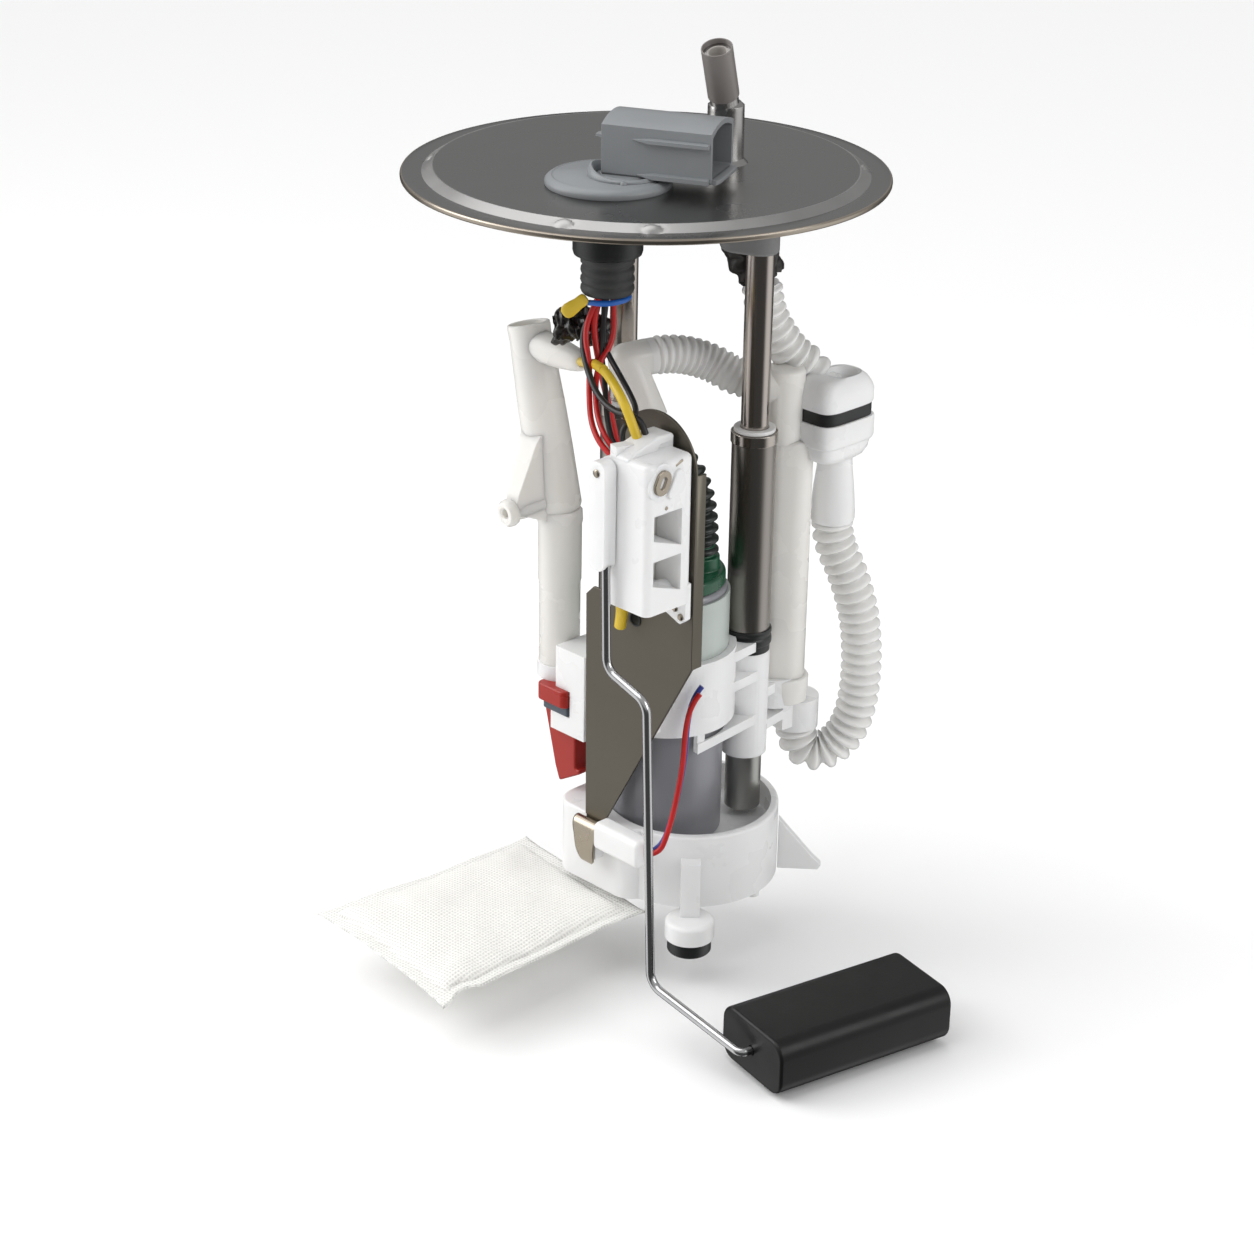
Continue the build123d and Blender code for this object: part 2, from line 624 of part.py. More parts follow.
def check_seal():
    """Grey rubber flap under the retainer."""
    return block((CHECK_XY[0] - 2.0, CHECK_XY[0] + 8.2), (CHECK_XY[1] - 4.8, CHECK_XY[1] + 5.0),
                 (PIPE_BOTTOM - 10.4, PIPE_BOTTOM - 7.4))


def check_wedge():
    """Red wedge-shaped duct that hangs below the valve."""
    low = PIPE_BOTTOM - 31.0
    high = PIPE_BOTTOM - 10.4
    x, y = CHECK_XY
    outline = Polyline((x - 1.8, high), (x + 8.8, high), (x + 8.8, low + 3.4), (x + 2.4, low), close=True)
    return Plane.XZ.offset(-y - 4.6) * extrude(make_face(outline), 5.6)


# ---------------------------------------------------------------- pressure valve
def valve_plan(inset=0.0):
    """Stadium plan of the valve body, long along Y."""
    return SlotOverall(VALVE_L - 2 * inset, VALVE_W - 2 * inset, rotation=90)


def valve_top():
    """Upper half with the inlet cup."""
    half = at(*VALVE_XY, VALVE_BAND_TOP) * extrude(valve_plan(), VALVE_TOP - VALVE_BAND_TOP - 3.0)
    half = fillet(half.edges().group_by(Axis.Z)[-1], 1.4)
    half += disc(HOSE_R + 1.2, VALVE_BAND_TOP, VALVE_INLET[2], VALVE_INLET)
    half -= disc(HOSE_BORE_R, VALVE_BAND_TOP + 2.0, VALVE_INLET[2] + 1, VALVE_INLET)
    return half - canister_space()


def valve_band():
    """Black seal clamped between the two halves."""
    band = at(*VALVE_XY, VALVE_BAND_TOP - VALVE_BAND_H) * extrude(valve_plan(0.4), VALVE_BAND_H)
    return band - canister_space()


def valve_bottom():
    """Lower half, rounded underneath, with the outlet tail and a lug to the canister."""
    top = VALVE_BAND_TOP - VALVE_BAND_H
    half = at(*VALVE_XY, VALVE_BOTTOM) * extrude(valve_plan(), top - VALVE_BOTTOM)
    half = fillet(half.edges().group_by(Axis.Z)[0], 4.0)
    half += disc(VALVE_TAIL_R, VALVE_OUTLET[2], VALVE_BOTTOM + 4.0, VALVE_OUTLET)
    half += disc(SPIGOT_R, VALVE_OUTLET[2] - SPIGOT_LEN, VALVE_BOTTOM + 4.0, VALVE_OUTLET)
    half += strut(VALVE_XY, CANISTER_XY, 5.0, VALVE_BOTTOM + 3.0, top - 1.0)
    return half - canister_space()


# ---------------------------------------------------------------- cup and its fittings
def reservoir_cup():
    """Cup that holds the pump's foot: round, with a square lobe on the bracket's side."""
    plan = at(*CUP_XY) * Circle(CUP_R)
    lobe = block((LOBE_X, CUP_XY[0] + 6.0), (LOBE_Y, CUP_XY[1] + 8.0), (CUP_BOTTOM, CUP_TOP))
    lobe = fillet(lobe.edges().filter_by(Axis.Z), LOBE_CORNER)
    cup = at(0, 0, CUP_BOTTOM) * extrude(plan, CUP_TOP - CUP_BOTTOM) + lobe
    cup = fillet(cup.edges().group_by(Axis.Z)[-1], 0.8)
    floor_top = CUP_BOTTOM + CUP_FLOOR_T - 1.0
    cup -= disc(CUP_R - CUP_WALL, floor_top, CUP_TOP + 1, CUP_XY)
    cup -= disc(PUMP_R + FIT_GAP, floor_top, CUP_TOP + 1, PUMP_XY)
    cup -= disc(4.4 + RUN_CLEAR, CUP_BOTTOM - 1, CUP_TOP, PUMP_XY)
    away = Vector(FOOT_XY[0] - CUP_XY[0], FOOT_XY[1] - CUP_XY[1], 0)
    wall_point = (CUP_XY[0] + away.normalized().X * (CUP_R - 1), CUP_XY[1] + away.normalized().Y * (CUP_R - 1))
    cup += strut(wall_point, FOOT_XY, FOOT_STEM_W, FOOT_RING_TOP, FOOT_STEM_TOP)
    lug_z = (CUP_BOTTOM + 11.0, CUP_TOP - 0.8)
    cup += block((CLIP_X[0] + 0.6, CLIP_X[1] - 0.6), (LOBE_Y - 3.2, LOBE_Y), lug_z)
    cup -= block((BRACKET_LOW_X + 0.9, CLIP_X[1] - 1.4), (LOBE_Y - SHEET - 0.05, LOBE_Y), (CUP_TOP - 10.0, CUP_TOP + 1))
    for x, y in ((CUP_XY[0] - 4.0, CUP_XY[1] - 22.0), (CUP_XY[0] + 23.0, CUP_XY[1] + 4.0)):
        cup += disc(1.8, CUP_BOTTOM - 2.6, CUP_BOTTOM, (x, y))
    return cup


def wire_plug():
    """White plug clipped along the lobe; the pump's wires enter its end."""
    plug = block(BAR_X, (LOBE_Y - 6.4, LOBE_Y), (BAR_TOP - BAR_H, BAR_TOP))
    return fillet(plug.edges().filter_by(Axis.X), 1.8)


def spring_clip():
    """Bent steel clip that hooks over the lug and traps the bracket's foot."""
    front = LOBE_Y - 3.2 - CLIP_T - 0.05
    span = (CLIP_X[0], CLIP_X[1])
    clip = block(span, (front, front + CLIP_T), (CUP_BOTTOM + 10.2, CUP_TOP))
    clip += block(span, (front, LOBE_Y - SHEET - 0.1), (CUP_TOP - 0.75, CUP_TOP - 0.05))
    clip += block(span, (front, LOBE_Y - 0.1), (CUP_BOTTOM + 10.2, CUP_BOTTOM + 10.9))
    return clip


def foot_cap():
    """Round cap moulded on the stem's end; it holds the rubber foot."""
    cap = disc(FOOT_RING_R, FOOT_RING_TOP - FOOT_RING_H, FOOT_RING_TOP, FOOT_XY)
    cap = fillet(cap.edges().group_by(Axis.Z)[-1], 1.4)
    return cap - disc(BUMPER_PEG_R, FOOT_RING_TOP - FOOT_RING_H - 1, FOOT_RING_TOP - 2.0, FOOT_XY)


def foot_bumper():
    """Rubber foot that stands on the tank's floor."""
    low = FOOT_RING_TOP - FOOT_RING_H - BUMPER_H
    foot = disc(BUMPER_R, low, low + BUMPER_H, FOOT_XY)
    foot = fillet(foot.edges().group_by(Axis.Z)[0], 1.0)
    return foot + disc(BUMPER_PEG_R, low + BUMPER_H, low + BUMPER_H + 3.6, FOOT_XY)


def strainer_wing():
    """Side strainer: a thin mesh-faced fin with a rounded end, on the cup's side."""
    outline = Polyline((-1.0, WING_TOP), (WING_LEN - 3.0, WING_TOP - 12.0), (WING_LEN, WING_TOP - 15.0),
                       (WING_LEN - 1.0, WING_BOTTOM), (-1.0, WING_BOTTOM), close=True)
    fin = Plane.XZ * extrude(make_face(outline), WING_T / 2, both=True)
    root = (CUP_XY[0] + (CUP_R + 1.3) * cos(radians(42)), CUP_XY[1] + (CUP_R + 1.3) * sin(radians(42)))
    return at(*root) * Rot(0, 0, 42) * fin


def filter_sock():
    """Pump strainer: a padded fabric bag with a flat sealed border."""
    outer = [Vector(x, y, SOCK_Z) for x, y in SOCK_CORNERS]
    middle = sum((corner for corner in outer), Vector(0, 0, 0)) / 4
    film = extrude(make_face(Polyline(*outer, close=True)), SOCK_FILM / 2, both=True)

    def shrunk(scale, lift):
        points = [middle + (corner - middle) * scale + Vector(0, 0, lift) for corner in outer]
        return make_face(Polyline(*points, close=True))

    pad = loft([shrunk(0.80, 0), shrunk(0.66, SOCK_BULGE)]) + loft([shrunk(0.80, 0), shrunk(0.66, -SOCK_BULGE)])
    return film + pad


def sock_neck():
    """Plastic ring that joins the strainer to the pump's inlet."""
    return ring(6.4, 4.45, SOCK_Z + SOCK_FILM / 2, CUP_BOTTOM, PUMP_XY)


# ---------------------------------------------------------------- sender
def sender_bracket():
    """Bent sheet: a foot plate with a sloped side, a domed upper plate and a stiffening lip."""
    dome_r = (BRACKET_HIGH_X - BRACKET_DOME_X) / 2
    dome = (BRACKET_DOME_X + dome_r, BRACKET_TOP - dome_r)
    sheet = Plane.XZ.offset(-BRACKET_Y - SHEET)
    outline = Polyline((BRACKET_LOW_X + 0.6, BRACKET_BOTTOM), (BRACKET_LOW_X, BRACKET_STEP - 3.0),
                       (BRACKET_LOW_X + 3.0, BRACKET_STEP), (BRACKET_DOME_X, BRACKET_STEP),
                       (BRACKET_DOME_X, dome[1]), (BRACKET_HIGH_X, dome[1]),
                       (BRACKET_HIGH_X, BRACKET_DIAG_TOP), (BRACKET_LOW_X + BRACKET_TOE, BRACKET_BOTTOM), close=True)
    plate = sheet * extrude(make_face(outline), SHEET)
    plate += sheet * (Location((dome[0], dome[1], 0)) * extrude(Circle(dome_r), SHEET))
    plate += block((BRACKET_LOW_X + 1.0, CLIP_X[1] - 1.5), (BRACKET_Y, BRACKET_Y + SHEET),
                   (CUP_TOP - 9.6, BRACKET_BOTTOM + 0.2))
    plate += block((BRACKET_HIGH_X - SHEET, BRACKET_HIGH_X), (BRACKET_Y, BRACKET_Y + BRACKET_LIP),
                   (BRACKET_DIAG_TOP, dome[1]))
    hole = sheet.offset(-1) * (Location((BRACKET_DOME_X + 4.4, BRACKET_STEP + 3.2, 0)) * extrude(Circle(2.2), 4))
    return plate - hole


def window_outline(top, inset=0.0):
    """Outline of a window in the sender body's side; its foot slopes up to the front."""
    front = HOUSING_Y[0] + 2.4 + inset
    back = HOUSING_Y[1] - 4.4 - inset
    low = top - WINDOW_H + inset
    return make_face(Polyline((front, top - inset), (back, top - inset), (back, low), (front, low + 3.6), close=True))


def sender_housing():
    """White sender body: an upright case with two windows in its open side and a top ridge."""
    body = block(HOUSING_X, HOUSING_Y, (HOUSING_BOTTOM, HOUSING_TOP))
    body = fillet(body.edges().filter_by(Axis.Z), 2.2)
    body = fillet(body.edges().group_by(Axis.Z)[-1], 1.6)
    side = Plane.YZ.offset(HOUSING_X[1] - WINDOW_DEPTH)
    for top in WINDOW_TOPS:
        body -= side * extrude(window_outline(top), WINDOW_DEPTH + 2.0)
    ridge = strut((HOUSING_X[0] + 1.4, HOUSING_Y[0] + 0.6), (HOUSING_X[0] + 6.0, HOUSING_Y[1] - 0.1), 3.4,
                  HOUSING_TOP - 2.0, HOUSING_TOP + 2.2)
    body += ridge
    pivot_y = (HOUSING_Y[0] - 1, HOUSING_Y[0] + 8)
    bore = Plane(origin=(ARM_PIVOT[0], pivot_y[0], ARM_PIVOT[1]), z_dir=(0, 1, 0)) * extrude(
        Circle(PIVOT_R + RUN_CLEAR), pivot_y[1] - pivot_y[0])
    lug = Plane(origin=(ARM_PIVOT[0], HOUSING_Y[0], ARM_PIVOT[1]), z_dir=(0, 1, 0)) * extrude(Circle(3.6), 9.0)
    return body + lug - bore


def resistor_card():
    """Ceramic resistor card, seen at the back of both windows."""
    side = Plane.YZ.offset(HOUSING_X[1] - WINDOW_DEPTH)
    card = Part()
    for top in WINDOW_TOPS:
        card += side * extrude(window_outline(top, RUN_CLEAR), CARD_T)
    return card


def contact_eyelet():
    """Plated eyelet in the side of the sender body."""
    place = Plane(origin=(HOUSING_X[1], -43.0, -64.6), z_dir=(1, 0, 0))
    return place * (extrude(Circle(2.9), 0.5) - extrude(Circle(1.5), 0.5))


def sender_rivets():
    """Two rivets that hold the sender body on its bracket."""
    pins = Part()
    for x, z in ((HOUSING_X[0] + 4.0, HOUSING_BOTTOM - 3.4), (HOUSING_X[1] - 4.0, HOUSING_BOTTOM - 3.4)):
        pins += Plane(origin=(x, BRACKET_Y, z), z_dir=(0, -1, 0)) * extrude(Circle(1.7), 1.1)
    return pins


# ---------------------------------------------------------------- float arm
def arm_route():
    """Centre line of the wire: down from its holder, two steps, then a turn into the float."""
    heading = radians(FLOAT_TILT)
    pin_end = (ARM_END[0] - FLOAT_PIN_LEN * sin(heading), ARM_Y + FLOAT_PIN_LEN * cos(heading), ARM_END[1])
    top = (ARM_PIVOT[0] + 1.2, ARM_Y, ARM_PIVOT[1] - 4.0)
    return [top] + [(x, ARM_Y, z) for x, z in (ARM_KNEE, ARM_STEP, ARM_TURN, ARM_END)] + [pin_end]


def float_arm():
    """One piece of bent steel wire."""
    route = arm_route()
    path = FilletPolyline(*route, radius=[ARM_BEND_R, ARM_BEND_R, ARM_BEND_R, 2.6])
    return sweep(Plane(origin=path @ 0, z_dir=path % 0) * Circle(ARM_WIRE_R), path=path)


def arm_holder():
    """White carriage that clips round the wire's top and turns on the pivot pin."""
    x, z = ARM_PIVOT
    y_back = HOUSING_Y[0] - FIT_GAP
    body = block((x - HOLDER_W / 2, x + HOLDER_W / 2), (y_back - HOLDER_T, y_back), (z - HOLDER_LEN + 3.2, z + 3.2))
    body = fillet(body.edges().filter_by(Axis.Y), 2.6)
    route = arm_route()
    start = Vector(*route[0])
    aim = Vector(*route[1]) - start
    channel = Plane(origin=start, z_dir=aim) * extrude(Circle(ARM_WIRE_R + 0.02), HOLDER_LEN + 8)
    pin = Plane(origin=(x, y_back, z), z_dir=(0, 1, 0)) * extrude(Circle(PIVOT_R), FIT_GAP + 7.0)
    return body - channel + pin


def float_axis():
    """Plane at the centre of the float's end face, normal into the float."""
    heading = radians(FLOAT_TILT)
    direction = Vector(-sin(heading), cos(heading), 0)
    centre = Vector(ARM_END[0], ARM_Y, ARM_END[1]) + direction * FLOAT_STANDOFF
    return Plane(origin=centre, x_dir=(cos(heading), sin(heading), 0), z_dir=direction)


def sender_float():
    """Closed-cell float with rounded edges and a blind bore for the wire's end."""
    body = float_axis() * extrude(Rectangle(FLOAT_W, FLOAT_T), FLOAT_L)
    along = [edge for edge in body.edges() if abs(edge.length - FLOAT_L) < 0.01]
    body = fillet(along, FLOAT_EDGE)
    body = fillet(body.edges(), 1.0)
    bore_len = FLOAT_PIN_LEN - FLOAT_STANDOFF + 0.5
    return body - float_axis() * extrude(Circle(ARM_WIRE_R + RUN_CLEAR), bore_len)


# ---------------------------------------------------------------- flexible lines
def outlet_line():
    """Ribbed hose that feeds the valve from the protector."""
    x, y, z = VALVE_INLET
    route = [WRAP_END, past(WRAP_AIM, WRAP_END, 7.0), (25.4, 32.6, -47.0), (x, y, z + 8.0), (x, y, z)]
    return line_along("outlet_hose", route, HOSE_R, HOSE_BORE_R)


def outlet_wrap():
    """Black crumpled protector round the first stretch of the outlet hose."""
    x, y = NOZZLE_XY
    route = [(x, y, RAISE_H - TAIL_LEN + 1.6), (x, y, -16.0), WRAP_AIM, WRAP_END]
    return line_along("outlet_wrap", route, WRAP_R, HOSE_BORE_R)


def return_hose():
    """Ribbed hose that loops from the valve's tail back up into the lower block."""
    x, y, z = VALVE_OUTLET
    route = [(x, y, z), (x, y, z - 6.5), (38.0, 49.2, -121.0), (41.2, 52.5, -137.0), (41.7, 53.0, -158.0),
             (39.6, 50.9, -172.5), (34.0, 45.3, -180.2), (*BLOCK_XY, -176.8),
             (*BLOCK_XY, BLOCK_BOTTOM + BLOCK_POCKET)]
    return line_along("return_hose", route, HOSE_R, HOSE_BORE_R)


WIRE_R = 1.1
WRAP_R = 5.9
WRAP_AIM = (16.6, 22.2, -25.4)
WRAP_END = (19.1, 25.3, -31.3)
PUMP_WIRE_ROUTE = [(41.6, -16.6, -137.6), (42.4, -19.6, -142.6), (42.2, -20.6, -149.6), (42.4, -22.0, -158.0),
                   (42.8, -24.4, -167.6), (43.2, -28.0, -176.6), (42.6, -31.0, -183.0)]
POWER_ROUTE = [(6.6, -23.6, -25.3), (6.8, -26.0, -37.0), (9.0, -26.2, -52.0), (10.6, -24.0, -72.0),
               (12.0, -19.0, -92.0), (13.0, -15.0, -107.7)]
SIGNAL_ROUTE = [(9.8, -21.0, -25.3), (8.0, -21.4, -34.0), (4.4, -24.4, -43.0), (7.2, -30.2, -50.6),
                (14.4, -33.4, -55.6), (23.0, -36.6, -57.2), (29.6, -38.6, -57.8), (36.0, -38.8, -61.4)]
EARTH_ROUTE = [(-6.8, -19.8, -50.9), (-0.6, -19.9, -49.6), (7.9, -22.6, -50.6), (16.7, -27.6, -52.6),
               (24.7, -32.8, -55.2), (30.4, -34.4, -59.2), (36.0, -34.8, -63.8)]


def pump_wire(shift):
    """One of the pair of wires that hang from the carrier to the plug."""
    hang = [(x - shift * 0.3, y - shift, z) for x, y, z in PUMP_WIRE_ROUTE]
    entry = (BAR_X[1] + FIT_GAP, LOBE_Y - 1.9 - shift, BAR_TOP - BAR_H / 2)
    return line_along("pump_wire", hang + [entry], WIRE_R)


def wire_loom():
    """Crumpled black bundle gathered beside the boot."""
    return line_along("wire_loom", [(2.0, -17.4, -41.4), (-4.6, -20.6, -42.8), (-9.0, -24.8, -38.6)], 4.2)


def wire_terminal():
    """Yellow insulated terminal on the wires below the boot."""
    body = Plane(origin=(-3.6, -25.6, -25.6), z_dir=(0.76, 0.45, -0.47)) * extrude(Circle(2.6), 7.6)
    return fillet(body.edges(), 0.9)


# ---------------------------------------------------------------- the nodes
NODES = {
    "flange_plate": flange_plate(),
    "outlet_tube": outlet_tube(),
    "outlet_sleeve": outlet_sleeve(),
    "connector_base": connector_base(),
    "connector_shroud": connector_shroud(),
    "connector_terminals": connector_terminals(),
    "boot_collar": wire_boot_collar(),
    "wire_boot": wire_boot(),
    "pump_can": pump_can(),
    "pump_inlet": pump_inlet(),
    "pump_sleeve": pump_sleeve(),
    "pump_cap": pump_cap(),
    "riser_hose": riser_hose(),
    "riser_elbow": riser_elbow(),
    "cross_hose": cross_hose(),
    "carrier": carrier(),
    "standpipe": standpipe(),
    "filter_canister": filter_canister(),
    "check_cap": check_cap(),
    "check_seal": check_seal(),
    "check_wedge": check_wedge(),
    "valve_top": valve_top(),
    "valve_band": valve_band(),
    "valve_bottom": valve_bottom(),
    "reservoir_cup": reservoir_cup(),
    "wire_plug": wire_plug(),
    "spring_clip": spring_clip(),
    "foot_cap": foot_cap(),
    "foot_bumper": foot_bumper(),
    "strainer_wing": strainer_wing(),
    "filter_sock": filter_sock(),
    "sock_neck": sock_neck(),
    "sender_bracket": sender_bracket(),
    "sender_housing": sender_housing(),
    "resistor_card": resistor_card(),
    "contact_eyelet": contact_eyelet(),
    "sender_rivets": sender_rivets(),
    "float_arm": float_arm(),
    "arm_holder": arm_holder(),
    "sender_float": sender_float(),
    "outlet_hose": outlet_line(),
    "outlet_wrap": outlet_wrap(),
    "return_hose": return_hose(),
    "pump_wire_red": pump_wire(0.0),
    "pump_wire_blue": pump_wire(2.6),
    "power_wire": line_along("power_wire", POWER_ROUTE, WIRE_R),
    "signal_wire": line_along("signal_wire", SIGNAL_ROUTE, WIRE_R),
    "earth_wire": line_along("earth_wire", EARTH_ROUTE, WIRE_R),
    "wire_loom": wire_loom(),
    "wire_terminal": wire_terminal(),
}
for side in GUIDES:
    NODES["guide_tube_" + side] = guide_tube(side)
for name, maker in (("guide_bosses", guide_boss), ("guide_rods", guide_rod), ("rod_pistons", rod_piston),
                    ("guide_bushes", guide_bush), ("tube_rings", tube_ring), ("tube_collars", tube_collar),
                    ("guide_springs", guide_spring)):
    NODES[name] = Compound([part for side in GUIDES for part in maker(side).solids()])

os.makedirs("parts", exist_ok=True)
for node, solid in NODES.items():
    export_step(solid, "parts/" + node + ".step")
print(len(NODES), "nodes")
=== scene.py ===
from math import cos, hypot, pi, radians, sin

import bmesh
import bpy
from mathutils import Matrix, Vector, noise


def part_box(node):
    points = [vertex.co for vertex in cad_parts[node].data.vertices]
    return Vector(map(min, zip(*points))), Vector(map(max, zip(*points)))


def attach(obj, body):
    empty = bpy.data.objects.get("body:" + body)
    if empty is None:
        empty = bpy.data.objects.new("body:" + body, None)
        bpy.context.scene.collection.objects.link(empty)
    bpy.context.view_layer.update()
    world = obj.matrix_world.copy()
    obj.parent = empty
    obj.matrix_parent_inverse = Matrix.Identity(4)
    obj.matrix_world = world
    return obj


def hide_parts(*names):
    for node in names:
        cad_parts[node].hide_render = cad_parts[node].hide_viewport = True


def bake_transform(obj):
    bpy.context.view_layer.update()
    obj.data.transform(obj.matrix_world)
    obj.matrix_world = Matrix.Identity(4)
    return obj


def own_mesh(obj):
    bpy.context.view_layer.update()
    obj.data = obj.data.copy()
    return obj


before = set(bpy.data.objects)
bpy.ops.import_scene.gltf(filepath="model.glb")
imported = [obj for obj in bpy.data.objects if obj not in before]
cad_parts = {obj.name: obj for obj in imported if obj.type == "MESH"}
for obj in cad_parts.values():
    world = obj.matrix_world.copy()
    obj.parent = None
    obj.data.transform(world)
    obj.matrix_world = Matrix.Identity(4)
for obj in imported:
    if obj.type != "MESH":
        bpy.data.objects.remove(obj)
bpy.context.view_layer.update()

scene = bpy.context.scene

# ------------ camera, floor and light
# The module stands in a pale studio and is seen from the bracket's side, a little above the cup.
# A wide soft lamp hangs over it, with one at each side; dark panels before and behind it show
# only in its polished metal, which has a dark middle and bright edges from them.
def placed(name, data):
    """A new object of the scene that shows the data."""
    thing = bpy.data.objects.new(name, data)
    scene.collection.objects.link(thing)
    return thing


lens = bpy.data.cameras.new("studio_camera")
lens.lens = 82.0
lens.sensor_width = 36.0
camera = placed("studio_camera", lens)
camera.matrix_world = Matrix((
    (0.69937, -0.30108, 0.64825, 0.54171),
    (0.71461, 0.27616, -0.64270, -0.54171),
    (0.01448, 0.91272, 0.40829, 0.20688),
    (0.0, 0.0, 0.0, 1.0)))
scene.camera = camera

LAMP_AIM = Vector((0.0, 0.0, -0.1))
for side, place, strength in (("left", (-0.55, -0.5, 0.2), 2.6), ("right", (0.75, 0.2, 0.3), 2.2)):
    light = bpy.data.lights.new("lamp_" + side, "AREA")
    light.size = 0.5
    light.energy = strength
    lamp = placed("lamp_" + side, light)
    lamp.location = place
    lamp.rotation_euler = (LAMP_AIM - Vector(place)).to_track_quat("-Z", "Y").to_euler()
overhead = bpy.data.lights.new("sky_panel", "SUN")
overhead.energy = 1.75
overhead.angle = radians(70)
placed("sky_panel", overhead).rotation_euler = (radians(16), radians(-22), 0.0)


def feed(node, inputs):
    """Links sockets to a node's inputs, and sets its other named inputs to their values."""
    for key, value in inputs.items():
        if isinstance(value, bpy.types.NodeSocket):
            node.id_data.links.new(value, node.inputs[key])
        else:
            node.inputs[key].default_value = value


def add_node(tree, kind, inputs=None, **values):
    """A node of one kind with its properties and inputs set."""
    node = tree.nodes.new(kind)
    for key, value in values.items():
        setattr(node, key, value)
    feed(node, inputs or {})
    return node


def worked(tree, kind, *terms):
    """The result of one sum on sockets or numbers."""
    return add_node(tree, "ShaderNodeMath", dict(enumerate(terms)), operation=kind).outputs["Value"]


def ranged(tree, value, low, high, start, end, step="LINEAR"):
    """One value's step between two others, spread over a new range."""
    limits = {"Value": value, "From Min": low, "From Max": high, "To Min": start, "To Max": end}
    return add_node(tree, "ShaderNodeMapRange", limits, interpolation_type=step).outputs["Result"]


def shade(name, colour, rough, metallic=0.0):
    """A material of one colour, ready for the nodes that vary it."""
    made = bpy.data.materials.new(name)
    made.use_nodes = True
    feed(made.node_tree.nodes["Principled BSDF"], {
        "Base Color": (*colour, 1.0), "Roughness": rough, "Metallic": metallic})
    return made


surround = bpy.data.worlds.new("studio_surround")
surround.use_nodes = True
sky = surround.node_tree
way = add_node(sky, "ShaderNodeTexCoord").outputs["Generated"]
parts = add_node(sky, "ShaderNodeSeparateXYZ", {"Vector": way}).outputs
level = worked(sky, "SQRT", worked(sky, "SUBTRACT", 1.0001, worked(sky, "MULTIPLY", parts["Z"], parts["Z"])))
aside = worked(sky, "ABSOLUTE", worked(sky, "ADD", parts["X"], parts["Y"]))
across = worked(sky, "DIVIDE", worked(sky, "MULTIPLY", aside, 0.7071), level)
panel = ranged(sky, across, 0.74, 1.0, 0.07, 1.0, "SMOOTHSTEP")
above = ranged(sky, parts["Z"], 0.05, 0.3, 0.0, 1.0, "SMOOTHSTEP")
below = worked(sky, "MULTIPLY", panel, worked(sky, "SUBTRACT", 1.0, above))
seen = worked(sky, "ADD", below, worked(sky, "MULTIPLY", above, 0.45))
glossy = add_node(sky, "ShaderNodeLightPath").outputs["Is Glossy Ray"]
mirrored = worked(sky, "MULTIPLY", seen, glossy)
diffuse = worked(sky, "MULTIPLY", worked(sky, "SUBTRACT", 1.0, glossy), 0.48)
power = worked(sky, "ADD", mirrored, diffuse)
feed(sky.nodes["Background"], {"Color": (1.0, 1.0, 1.0, 1.0), "Strength": power})
scene.world = surround
scene.view_settings.view_transform = "Standard"

FLOOR_Z, FLOOR_HALF = -0.2262, 6
corners = [(x * FLOOR_HALF, y * FLOOR_HALF, FLOOR_Z) for x, y in ((-1, -1), (1, -1), (1, 1), (-1, 1))]
sweep = bpy.data.meshes.new("studio_floor")
sweep.from_pydata(corners, [], [(0, 1, 2, 3)])
sweep.materials.append(shade("floor_paint", (0.93, 0.93, 0.93), 0.9))
studio_floor = placed("studio_floor", sweep)
studio_floor.visible_glossy = False


# ------------ flange
# Pressed steel plate with a raised centre, a rolled band and four shallow coined pads.
# It is satin grey from rolling; the band's upward slope gets a rougher copy of the steel with a painted highlight.
def open_group(tree, inputs, outputs):
    """Gives a node group its named inputs and outputs, each with its kind of socket."""
    for way, labels in (("INPUT", inputs), ("OUTPUT", outputs)):
        for label, kind in labels.items():
            tree.interface.new_socket(label, in_out=way, socket_type="NodeSocket" + kind)


def mottle_group():
    """Cloudy colour change, a grain mask and a small height, for every cast, moulded or drawn skin."""
    group = bpy.data.node_groups.new("surface_mottle", "ShaderNodeTree")
    open_group(group, {"Vector": "Vector", "Colour": "Color", "Cloud Scale": "Float", "Grain Scale": "Float",
        "Colour Change": "Float", "Rough Low": "Float", "Rough High": "Float"},
        {"Colour": "Color", "Roughness": "Float", "Height": "Float"})
    entry = add_node(group, "NodeGroupInput").outputs
    noises = []
    for scale, detail in (("Cloud Scale", 4.0), ("Grain Scale", 3.0)):
        inputs = {"Vector": entry["Vector"], "Scale": entry[scale], "Detail": detail}
        noises.append(add_node(group, "ShaderNodeTexNoise", inputs).outputs["Fac"])
    cloud, grain = noises
    rough = ranged(group, cloud, 0.3, 0.7, entry["Rough Low"], entry["Rough High"])
    least = worked(group, "SUBTRACT", 1.0, entry["Colour Change"])
    dull = add_node(group, "ShaderNodeVectorMath", {
        0: entry["Colour"], "Scale": ranged(group, cloud, 0.3, 0.7, least, 1.0)}, operation="SCALE")
    add_node(group, "NodeGroupOutput", {"Colour": dull.outputs["Vector"], "Roughness": rough, "Height": grain})
    return group


MOTTLE = mottle_group()


